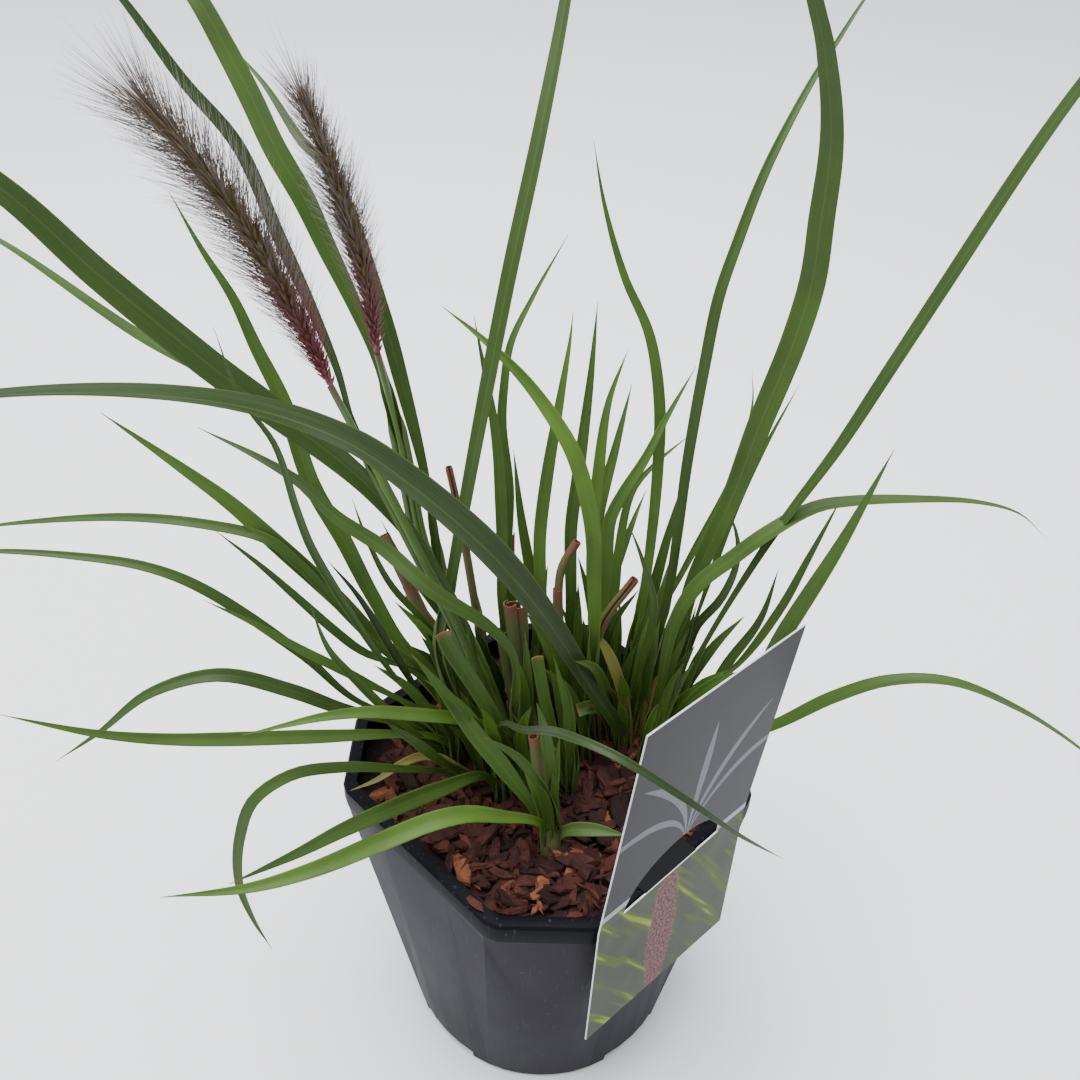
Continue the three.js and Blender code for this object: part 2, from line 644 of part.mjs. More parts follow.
// Picture card: a flat sheet folded a little at the lip, with a half-moon slot above the fold
function cardFrame(lean) {
  const facing = vec(Math.cos(degrees(cardTurn)), Math.sin(degrees(cardTurn)), 0);
  const along = vec(-facing.y, facing.x, 0);
  const up = facing.clone().multiplyScalar(Math.sin(degrees(lean)));
  up.z = Math.cos(degrees(lean));
  const out = along.clone().cross(up);
  const place = facing.clone().multiplyScalar(cardDistance);
  place.z = rimHeight + 1;
  return new THREE.Matrix4().makeBasis(along, up, out).setPosition(place);
}

function cardHalf(upper) {
  const outline = new THREE.Shape();
  const tilt = degrees(-cardTilt);
  const corners = [[0, 0], [1, 0], [1, 1], [0, 1]].map(([across, rise]) => {
    const u = across * cardWidth - cardMiddle;
    const v = rise * cardHeight - cardFold;
    return new THREE.Vector2(u, v).rotateAround(new THREE.Vector2(0, 0), tilt);
  });
  outline.setFromPoints(corners);
  const slot = new THREE.Path();
  slot.absellipse(-7, 0, slotWidth / 2, slotHeight, 0, Math.PI, false, 0);
  outline.holes.push(slot);
  const sheet = new THREE.ExtrudeGeometry(outline, {
    depth: cardThickness, bevelEnabled: false, curveSegments: 8,
  });
  sheet.translate(0, 0, -cardThickness / 2);
  const keep = new THREE.BoxGeometry(400, 400, 20);
  keep.translate(0, upper ? 199.8 : -199.8, 0);
  const half = toSolid(sheet).intersect(toSolid(keep));
  return half.transform(cardFrame(upper ? cardLeanAbove : -cardLeanBelow).toArray());
}

// Tongue cut from the slot: it is bent in over the lip and down behind it
function cardTongue() {
  const over = new THREE.BoxGeometry(tongueWidth, cardThickness, lipWidth + 2);
  over.translate(-7, -0.3, -(lipWidth + 2) / 2);
  const down = new THREE.BoxGeometry(tongueWidth - 6, tongueDrop, cardThickness);
  down.translate(-7, -tongueDrop / 2 + 0.05, -(lipWidth + 2) + cardThickness / 2);
  return toSolid(over).add(toSolid(down)).transform(cardFrame(0).toArray());
}

function buildCard() {
  return joinAll([cardHalf(false), cardHalf(true), cardTongue()]);
}

// A path is a list of [reach, height, sway] points from the foot of a tiller: how far out
// along the heading, how high over the bark, and how far to the left of the heading.
// The stretch below the bark stands straight in its hole.
function rootedCurve(foot, { heading, path }, shift = 0) {
  const out = vec(Math.cos(degrees(heading)), Math.sin(degrees(heading)), 0);
  const left = vec(-out.y, out.x, 0);
  const points = [[shift, -rootDepth + shift], [shift, -4], ...path].map(([reach, height, sway = 0]) =>
    vec(foot[0], foot[1], ground + height)
      .addScaledVector(out, reach)
      .addScaledVector(left, sway));
  return new THREE.CatmullRomCurve3(points, false, 'centripetal');
}

// Width of a blade along its length, as a share of its widest: it opens from its neck at the
// collar, runs nearly parallel, then draws out to a fine tip unless it was cut off
function bladeShape(share, neck, cut) {
  const opening = mix(neck, 1, smooth(share, 0, 0.38));
  const closing = cut ? 1 : 1 - Math.max(0, (share - 0.45) / 0.55) ** 1.7;
  return Math.max(opening * closing, 0.07);
}

// One leaf: a rounded sheath up to the collar, then a keeled blade whose upper face looks
// at the light, turned away from it by turn degrees at the collar and turnEnd at the tip
function buildLeaf(foot, leaf, index) {
  const { width, sheath = 30, turn = 0, turnEnd = turn, neck = 0.42, cut = false } = leaf;
  const curve = rootedCurve(foot, leaf, index * 0.35);
  const length = curve.getLength();
  const collar = Math.min(sheath, length * 0.6) + rootDepth;
  const steps = Math.max(3, Math.round((length - collar) / bladeStep));
  const stops = [0, rootDepth + 2];
  for (let at = rootDepth + 30; at < collar - 12; at += 36) stops.push(at);
  stops.push(collar);
  for (let step = 1; step <= steps; step += 1) stops.push(mix(collar, length, step / steps));
  const rings = stops.map((distance) => {
    const along = Math.min(distance / length, 1);
    const point = curve.getPointAt(along);
    const tangent = curve.getTangentAt(along);
    const share = Math.max(0, (distance - collar) / (length - collar));
    const across = tangent.clone().cross(light).normalize();
    const face = across.clone().cross(tangent);
    const angle = degrees(mix(turn, turnEnd, share) * smooth(distance, collar - 20, collar + 20));
    const side = across.clone().multiplyScalar(Math.cos(angle)).addScaledVector(face, Math.sin(angle));
    const top = face.clone().multiplyScalar(Math.cos(angle)).addScaledVector(across, -Math.sin(angle));
    const blade = bladeShape(share, neck, cut);
    const onSheath = distance < collar;
    const climb = smooth(distance, rootDepth, collar);
    const sheathHalf = mix(sheathRadius, Math.max(sheathRadius, width * 0.3), climb);
    const half = onSheath ? sheathHalf : (width / 2) * blade;
    const thick = onSheath
      ? mix(sheathThickness, leafThickness * 2, climb)
      : Math.max(leafThickness * Math.min(1, 0.4 + blade), 0.6);
    const rise = half * mix(0, 0.24, smooth(distance, collar - 20, collar + 10));
    return [
      point.clone().addScaledVector(top, thick / 2),
      point.clone().addScaledVector(side, half).addScaledVector(top, rise),
      point.clone().addScaledVector(top, -thick / 2),
      point.clone().addScaledVector(side, -half).addScaledVector(top, rise),
    ];
  });
  return toSolid(skinOver(rings));
}

// Ring of a round stem about a point of its curve
function stemRing(curve, along, size, sides) {
  const point = curve.getPointAt(along);
  const tangent = curve.getTangentAt(along);
  const east = vec(1, 0, 0).addScaledVector(tangent, -tangent.x).normalize();
  const north = tangent.clone().cross(east);
  const ring = [];
  for (let side = 0; side < sides; side += 1) {
    const angle = (side / sides) * Math.PI * 2;
    ring.push(point.clone()
      .addScaledVector(east, size * Math.cos(angle))
      .addScaledVector(north, size * Math.sin(angle)));
  }
  return ring;
}

// Stem of a flowering culm, or a cut stem with a hollow end
function buildStem(foot, stem, index = 0) {
  const { radius = 2, endRadius = radius * 0.7, hollow = false } = stem;
  const sides = hollow ? 8 : 6;
  const curve = rootedCurve(foot, stem, index * 0.35);
  const length = curve.getLength();
  const steps = Math.max(2, Math.round((length - rootDepth) / 24));
  const stops = [0];
  for (let step = 0; step <= steps; step += 1) {
    stops.push(mix(rootDepth - 2, length, step / steps) / length);
  }
  const rings = stops.map((along) => stemRing(curve, along, mix(radius, endRadius, along), sides));
  const solid = toSolid(skinOver(rings));
  if (!hollow) return solid;
  const depth = 1 - 7 / length;
  const bore = [
    stemRing(curve, depth, endRadius * 0.5, sides),
    stemRing(curve, 1, endRadius * 0.62, sides),
  ];
  const tangent = curve.getTangentAt(1);
  bore.push(bore[1].map((point) => point.clone().addScaledVector(tangent, 2)));
  return solid.subtract(toSolid(skinOver(bore)));
}

// Flattened bundle of cut sheaths
function buildBundle(foot, bundle) {
  const { width, thickness } = bundle;
  const curve = rootedCurve(foot, bundle);
  const rings = [];
  for (let step = 0; step <= 4; step += 1) {
    const along = step / 4;
    const point = curve.getPointAt(along);
    const tangent = curve.getTangentAt(along);
    const across = tangent.clone().cross(light).normalize();
    const face = across.clone().cross(tangent);
    const half = mix(sheathRadius, width / 2, smooth(along, 0.1, 0.8));
    const thick = mix(sheathThickness / 2, thickness / 2, along);
    const corners = [[1, 0], [0.6, -1], [-0.6, -1], [-1, 0], [-0.6, 1], [0.6, 1]];
    rings.push(corners.map(([u, v]) => point.clone()
      .addScaledVector(across, u * half)
      .addScaledVector(face, v * thick)));
  }
  return toSolid(skinOver(rings));
}

// Plume: a slim core with bristles all round it; spread is the whole width at each share
function buildPlume({ foot, heading, path, spread, bristles, seed }) {
  const random = randomStream(seed);
  const out = vec(Math.cos(degrees(heading)), Math.sin(degrees(heading)), 0);
  const left = vec(-out.y, out.x, 0);
  const axis = new THREE.CatmullRomCurve3(path.map(([reach, height, sway]) =>
    vec(foot[0], foot[1], ground + height).addScaledVector(out, reach).addScaledVector(left, sway)));
  const spreadAt = (share) => {
    const place = share * (spread.length - 1);
    const from = Math.min(Math.floor(place), spread.length - 2);
    return mix(spread[from], spread[from + 1], place - from);
  };
  const coreAt = (share) => {
    const swell = Math.sin(Math.PI * Math.min(share * 0.8 + 0.2, 1));
    return Math.max(plumeCore * swell ** 0.6, 0.7);
  };
  const rings = [0, 0.15, 0.3, 0.45, 0.6, 0.75, 0.9, 1].map((share) =>
    stemRing(axis, share, Math.min(coreAt(share), spreadAt(share) * 0.3), 6));
  let plume = toSolid(skinOver(rings));
  const length = axis.getLength();
  for (let bristle = 0; bristle < bristles; bristle += 1) {
    const share = mix(0.04, 0.995, (bristle + 0.5) / bristles);
    const [east, , north] = stemRing(axis, share, 1, 4)
      .map((point) => point.sub(axis.getPointAt(share)));
    const around = degrees(bristle * 137.5 + mix(-25, 25, random()));
    const radial = east.multiplyScalar(Math.cos(around))
      .addScaledVector(north.cross(axis.getTangentAt(share)), Math.sin(around)).normalize();
    const lean = degrees(mix(48, 26, smooth(share, 0.6, 1)) + mix(-8, 8, random()));
    const longest = Math.min(spreadAt(share) / 2 / Math.sin(lean), length * 0.19);
    const reach = longest * mix(0.8, 1.1, random());
    const tangent = axis.getTangentAt(share);
    const aim = tangent.clone().multiplyScalar(Math.cos(lean)).addScaledVector(radial, Math.sin(lean));
    plume = plume.add(buildBristle(axis.getPointAt(share), aim, radial, reach));
  }
  return largestBody(plume);
}

// A three-sided bristle that leans out of the core
function buildBristle(root, aim, radial, reach) {
  const side = aim.clone().cross(radial).normalize();
  const back = side.clone().cross(aim);
  const ring = (size, along) => [0, 120, 240].map((angle) => root.clone()
    .addScaledVector(aim, along)
    .addScaledVector(side, size * Math.cos(degrees(angle)))
    .addScaledVector(back, -size * Math.sin(degrees(angle))));
  return toSolid(skinOver([ring(bristleRadius, 0), ring(bristleRadius * 0.3, reach)]));
}

// Young leaves: drawn at the feet of the tillers, and drawn again until each stands clear
function samplesOf(foot, leaf) {
  const curve = rootedCurve(foot, leaf);
  return curve.getSpacedPoints(Math.ceil(curve.getLength() / 5));
}

const feet = [...tillers, ...culms, ...cutStems, ...bundles].map(({ foot }) => foot);
const leafPoints = [...tillers, ...culms].flatMap(({ foot, leaves }) =>
  leaves.flatMap((leaf) => samplesOf(foot, leaf)))
  .concat([...tillers, ...culms].flatMap(({ foot, stems = [] }) =>
    stems.flatMap((stem) => samplesOf(foot, stem))))
  .concat([...cutStems, ...bundles].flatMap((stem) => samplesOf(stem.foot, stem)));

function addYoungLeaves() {
  const random = randomStream(33);
  let added = 0;
  for (let tries = 0; tries < 4000 && added < youngLeafCount; tries += 1) {
    const tiller = tillers[Math.floor(random() * tillers.length)];
    const heading = Math.round(tiller.leaves[0].heading + mix(-70, 70, random()));
    const height = mix(30, 80, random());
    const lean = mix(0.12, 0.5, random());
    const leaf = {
      heading, width: mix(3.2, 5, random()), sheath: height * 0.3, neck: 0.8,
      path: [[0.25, 0.45], [0.6, 0.8], [1, 1]].map(([out, up]) => [height * lean * out, height * up]),
    };
    const samples = samplesOf(tiller.foot, leaf);
    const blocked = samples.some((sample) => {
      const away = Math.hypot(sample.x - tiller.foot[0], sample.y - tiller.foot[1]);
      if (away < 5) return false;
      const outside = away > 5 && Math.hypot(sample.x, sample.y) > 60 && sample.z < rimHeight + 8;
      return outside || leafPoints.some((point) => point.distanceTo(sample) < 6.5);
    });
    if (blocked) continue;
    tiller.leaves.push(leaf);
    leafPoints.push(...samples);
    added += 1;
  }
}

function buildTiller({ foot, leaves = [], stems = [] }) {
  const solids = [
    ...leaves.map((leaf, index) => buildLeaf(foot, leaf, index)),
    ...stems.map((stem, index) => buildStem(foot, stem, index)),
  ];
  return largestBody(joinAll(solids));
}

addYoungLeaves();
const plant = new THREE.Group();
plant.add(toMesh('pot', buildPot(), finishes.pot));
plant.add(toMesh('root_ball', buildRootBall(), finishes.soil));
plant.add(toMesh('bark_mulch', buildBark(), finishes.bark));
for (const chip of looseChips) plant.add(toMesh(chip.name, buildLooseChip(chip), finishes.paleBark));
plant.add(toMesh('picture_card', buildCard(), finishes.card));
for (const tiller of tillers) plant.add(toMesh(tiller.name, buildTiller(tiller), finishes.leaf));
for (const culm of culms) plant.add(toMesh(culm.name, buildTiller(culm), finishes.leaf));
for (const plume of plumes) plant.add(toMesh(plume.name, buildPlume(plume), finishes.plume));
for (const stem of cutStems) {
  plant.add(toMesh(stem.name, buildStem(stem.foot, { ...stem, hollow: true }), finishes.stub));
}
for (const bundle of bundles) {
  plant.add(toMesh(bundle.name, buildBundle(bundle.foot, bundle), finishes.stub));
}

export default plant;
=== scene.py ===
# %% [markdown]
# # A potted fountain grass
#
# This lesson dresses a solid model of a grass in a nursery pot. The solids hold the true places
# and sizes. Each leafy solid is replaced by a finer piece that follows the same typed path, so
# the plant that is seen and the plant that is solid are one plant.
#
# Sizes are written in millimetres, as on a drawing, and one factor turns them to metres.

# %% Load the frame
import json
import math

import bmesh
import bpy
import numpy as np
from mathutils import Matrix, Vector

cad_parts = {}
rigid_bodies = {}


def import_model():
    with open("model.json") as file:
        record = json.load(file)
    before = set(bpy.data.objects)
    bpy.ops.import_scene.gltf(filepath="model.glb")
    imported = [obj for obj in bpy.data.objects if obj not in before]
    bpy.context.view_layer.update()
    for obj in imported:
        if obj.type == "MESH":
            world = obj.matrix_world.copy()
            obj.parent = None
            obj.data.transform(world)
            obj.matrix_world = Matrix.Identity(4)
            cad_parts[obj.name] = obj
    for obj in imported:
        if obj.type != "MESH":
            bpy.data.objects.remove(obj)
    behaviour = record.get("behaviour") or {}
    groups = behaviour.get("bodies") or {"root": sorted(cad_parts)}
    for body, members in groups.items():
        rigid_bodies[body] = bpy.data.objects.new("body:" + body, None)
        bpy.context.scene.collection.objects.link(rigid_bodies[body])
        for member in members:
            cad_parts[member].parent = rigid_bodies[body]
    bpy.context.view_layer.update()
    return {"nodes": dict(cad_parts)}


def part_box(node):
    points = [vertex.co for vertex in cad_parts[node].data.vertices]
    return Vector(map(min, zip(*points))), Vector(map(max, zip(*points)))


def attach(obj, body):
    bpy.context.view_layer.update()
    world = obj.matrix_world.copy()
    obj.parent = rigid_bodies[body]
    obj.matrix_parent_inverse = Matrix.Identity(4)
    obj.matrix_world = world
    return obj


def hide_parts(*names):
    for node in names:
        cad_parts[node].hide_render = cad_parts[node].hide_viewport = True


MM = 0.001
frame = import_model()
nodes = frame["nodes"]

# %% [markdown]
# ## The camera comes first
#
# The picture was taken from above the pot, looking down at about 38 degrees. A plain lens with
# no shift is enough. The camera's place and its three turns were found by laying the rim's
# outline over the picture.

# %% Camera
camera_place = (-5.5, -334.0, 528.0)
camera_down = 37.74
camera_roll = 1.50
camera_yaw = -0.06
sensor_width = 36
focal_share = 1150 / 1080

camera_data = bpy.data.cameras.new("camera")
camera_data.sensor_width = sensor_width
camera_data.lens = sensor_width * focal_share
camera_data.clip_start = 0.01
camera = bpy.data.objects.new("camera", camera_data)
bpy.context.scene.collection.objects.link(camera)
look = Matrix.Rotation(math.radians(-camera_yaw), 4, "Z")
look = look @ Matrix.Rotation(math.radians(90 - camera_down), 4, "X")
look = look @ Matrix.Rotation(math.radians(camera_roll), 4, "Z")
camera.matrix_world = Matrix.Translation(Vector(camera_place) * MM) @ look
bpy.context.scene.camera = camera
print("camera at", camera_place, "mm, lens", round(camera_data.lens, 2), "mm")

# %% [markdown]
# ## Small helpers
#
# Colours are read as sRGB hex codes, and a shader wants linear numbers, so one function turns
# them. Another adds a node with its settings and its links, for materials and Geometry Nodes
# alike: an input may be a number, a colour code, a socket or a whole node.
#
# Most finishes here are one colour laid thinly over another. So a third function takes a list
# of layers, each with what it follows, from where to where, how strongly, and its colour.

# %% Helpers
MATH, MIX, RANGE = "ShaderNodeMath", "ShaderNodeMix", "ShaderNodeMapRange"
NOISE, MAPPING, BUMP = "ShaderNodeTexNoise", "ShaderNodeMapping", "ShaderNodeBump"
COORDS, SPLIT, ATTRIBUTE = "ShaderNodeTexCoord", "ShaderNodeSeparateXYZ", "ShaderNodeAttribute"
COMBINE, VECTOR_MATH = "ShaderNodeCombineXYZ", "ShaderNodeVectorMath"
NAMED, STORE = "GeometryNodeInputNamedAttribute", "GeometryNodeStoreNamedAttribute"


def paint(code):
    parts = [int(code[i:i + 2], 16) / 255 for i in (1, 3, 5)]
    linear = [v / 12.92 if v <= 0.04045 else ((v + 0.055) / 1.055) ** 2.4 for v in parts]
    return (*linear, 1.0)


def feed(tree, node, inputs):
    for key, value in inputs.items():
        if isinstance(value, bpy.types.Node):
            value = next(socket for socket in value.outputs if socket.enabled)
        if isinstance(value, bpy.types.NodeSocket):
            tree.links.new(value, node.inputs[key])
        elif isinstance(value, str) and value.startswith("#"):
            node.inputs[key].default_value = paint(value)
        else:
            node.inputs[key].default_value = value


def add(tree, kind, inputs=None, **settings):
    node = tree.nodes.new(kind)
    for name, value in settings.items():
        setattr(node, name, value)
    feed(tree, node, inputs or {})
    return node


def layered(tree, colour, *layers):
    for source, start, end, most, code in layers:
        share = add(tree, RANGE, {"Value": source, "From Min": start, "From Max": end, "To Max": most})
        colour = add(tree, MIX, {0: share, 6: colour, 7: code}, data_type="RGBA")
    return colour


def new_material(name, **numbers):
    material = bpy.data.materials.new(name)
    material.use_nodes = True
    shader = material.node_tree.nodes["Principled BSDF"]
    for key, value in numbers.items():
        shader.inputs[key.replace("_", " ")].default_value = value
    return material, material.node_tree, shader


def linked(obj):
    bpy.context.scene.collection.objects.link(obj)
    return obj


print("sample colour:", [round(v, 3) for v in paint("#4f7326")])

# %% [markdown]
# ## Floor and light
#
# The pot stands on a pale floor under an even grey sky. A wide soft box overhead, a weaker one
# at the left and a bright plain world give the faint shadow that such light leaves.

# %% Floor, lights and world
floor_half = 6.0
floor_finish, floor_tree, floor_shader = new_material("pale_painted_floor", Roughness=0.9)
feed(floor_tree, floor_shader, {"Base Color": "#e6e7ea"})
floor_mesh = bpy.data.meshes.new("floor")
floor_corners = [(x * floor_half, y * floor_half, 0) for x, y in ((-1, -1), (1, -1), (1, 1), (-1, 1))]
floor_mesh.from_pydata(floor_corners, [], [(0, 1, 2, 3)])
floor_mesh.materials.append(floor_finish)
linked(bpy.data.objects.new("floor", floor_mesh))


def soft_box(name, place, size, watts):
    data = bpy.data.lights.new(name, "AREA")
    data.size = size
    data.energy = watts
    light = linked(bpy.data.objects.new(name, data))
    light.location = place
    light.rotation_euler = (Vector((0, 0, 0.2)) - Vector(place)).to_track_quat("-Z", "Y").to_euler()


# place in metres, size in metres, power in watts
soft_box("overhead", (-0.3, 0.1, 2.2), 1.8, 110)
soft_box("left_fill", (-1.8, -1.0, 1.2), 1.6, 16)
world = bpy.data.worlds.new("even_sky")
world.use_nodes = True
feed(world.node_tree, world.node_tree.nodes["Background"], {"Color": "#e9ebef", "Strength": 1.5})
bpy.context.scene.world = world
print("stage ready")

# %% [markdown]
# ## What a grass leaf looks like
#
# The real one is a thin living leaf: a waxy skin over green tissue, with side-by-side veins
# about 0.7 mm apart and a paler midrib. The wax gives a soft broad sheen, so the roughness is
# about 0.45. The finish reads what the sweep writes on each leaf: the place along and across
# the blade, how far down the sheath it is, and the leaf's own tone and dryness.

# %% What a sweep writes on its strands
def strand_marks(tree):
    tone = add(tree, ATTRIBUTE, attribute_name="tone").outputs["Vector"]
    parts = add(tree, SPLIT, {"Vector": tone}).outputs
    along = add(tree, ATTRIBUTE, attribute_name="along").outputs["Fac"]
    return parts["X"], parts["Y"], along


print("strand marks: tone, second tone, place along")

# %% Living leaf
veins_across = 22.0
vein_waves = 75.0
leaf_finish, tree, shader = new_material(
    "living_grass_leaf", Roughness=0.46, IOR=1.42, Specular_IOR_Level=0.3)
tone, dry, along = strand_marks(tree)
down = add(tree, ATTRIBUTE, attribute_name="sheath").outputs["Fac"]
leaf_uv = add(tree, "ShaderNodeUVMap", uv_map="UVMap")
leaf_x = add(tree, SPLIT, {"Vector": leaf_uv}).outputs["X"]
off_middle = add(tree, MATH, {0: leaf_x, 1: 0.5}, operation="SUBTRACT")
off_middle = add(tree, MATH, {0: off_middle}, operation="ABSOLUTE")
leaf_coords = add(tree, COORDS).outputs["Object"]
cloud = add(tree, NOISE, {"Vector": leaf_coords, "Scale": 45.0, "Detail": 3.0})
vein_grid = add(tree, MAPPING, {"Vector": leaf_uv, "Scale": (veins_across, 2.5, 1.0)})
streak = add(tree, NOISE, {"Vector": vein_grid, "Scale": 1.0, "Detail": 2.0})
leaf_colour = layered(
    tree, "#16230c",
    (tone, 0, 1, 1, "#46641a"),
    (cloud, 0.35, 0.7, 0.45, "#21320f"),
    (streak, 0.45, 0.75, 0.2, "#3c521d"),
    # the midrib, the two margins, the sheath, and its foot in the bark
    (off_middle, 0.035, 0.01, 0.4, "#465a26"),
    (off_middle, 0.45, 0.5, 0.5, "#4a5a24"),
    (down, 0.1, 1.0, 0.5, "#425626"),
    (down, 1.2, 2.0, 0.7, "#2a2414"),
    # dryness over the whole leaf, and always in the last few millimetres of the tip
    (dry, 0, 1, 1, "#7b6238"),
    (along, 0.955, 1.0, 0.8, "#6b4c28"))
vein_wave = add(tree, MATH, {0: leaf_x, 1: vein_waves}, operation="MULTIPLY")
vein_wave = add(tree, MATH, {0: vein_wave}, operation="SINE")
vein_bump = add(tree, BUMP, {"Height": vein_wave, "Strength": 0.15, "Distance": 0.0002})
feed(tree, shader, {"Base Color": leaf_colour, "Normal": vein_bump})
print("leaf finish:", len(tree.nodes), "nodes")

# %% [markdown]
# ## The path of a leaf
#
# Each path is typed as (reach, height, sway): how far out along the leaf's heading, how
# high over the bark, and how far to the left of the heading. A centripetal Catmull-Rom curve
# passes through the points without making loops. The stretch below the bark stands straight.

# %% Curves through typed points
ground = 143.0
root_depth = 14.0
curve_steps = 200


def typed_points(foot, heading, path):
    out = np.array([math.cos(math.radians(heading)), math.sin(math.radians(heading)), 0.0])
    left = np.array([-out[1], out[0], 0.0])
    base = np.array([foot[0], foot[1], ground])
    rows = [(*point, 0.0)[:3] for point in path]
    return np.array([base + out * r + left * s + np.array([0, 0, h]) for r, h, s in rows])


def rooted_points(foot, heading, path, shift=0.0):
    return typed_points(foot, heading, [(shift, shift - root_depth), (shift, -4.0), *path])


def curve_at(points, places):
    place = np.clip(places, 0, 1) * (len(points) - 1)
    start = np.minimum(place.astype(int), len(points) - 2)
    weight = (place - start)[:, None]
    ends = np.vstack([2 * points[0] - points[1], points, 2 * points[-1] - points[-2]])
    a, b, c, d = (ends[start + step] for step in range(4))
    gaps = [np.maximum(np.linalg.norm(q - p, axis=1, keepdims=True), 1e-6) ** 0.5
            for p, q in ((a, b), (b, c), (c, d))]
    leave = ((b - a) / gaps[0] - (c - a) / (gaps[0] + gaps[1]) + (c - b) / gaps[1]) * gaps[1]
    reach = ((c - b) / gaps[1] - (d - b) / (gaps[1] + gaps[2]) + (d - c) / gaps[2]) * gaps[1]
    cubic = 2 * b - 2 * c + leave + reach
    square = -3 * b + 3 * c - 2 * leave - reach
    return b + leave * weight + square * weight ** 2 + cubic * weight ** 3


def measured(points):
    """Places along the curve and the length up to each."""
    places = np.linspace(0, 1, curve_steps + 1)
    steps = np.linalg.norm(np.diff(curve_at(points, places), axis=0), axis=1)
    return places, np.concatenate([[0.0], np.cumsum(steps)])


def at_lengths(points, stops):
    places, lengths = measured(points)
    return curve_at(points, np.interp(stops, lengths, places))


test_path = rooted_points((0, 0), 90, [(10, 40), (30, 80)])
print("test path:", round(float(measured(test_path)[1][-1]), 1), "mm")

# %% [markdown]
# ## The plant's own table
#
# A grass grows as tillers: shoots that stand on one foot and bear a few leaves each. The rows
# below are the same waypoints that the solids were made from. Each leaf has its heading in
# degrees, its greatest width, how far up it stays rolled round the shoot, its tone from deep to
# bright green, and then the points of its path. A turn tips the blade about its own length, a
# neck is its width at the collar as a share, and a cut leaf has no tip.

# %% One leaf as a row
def blade(heading, width, sheath, tone, *path, **more):
    return dict(heading=heading, width=width, sheath=sheath, tone=tone, path=path, **more)


print("one leaf:", blade(90, 6, 30, 0.4, (10, 40), (30, 80)))

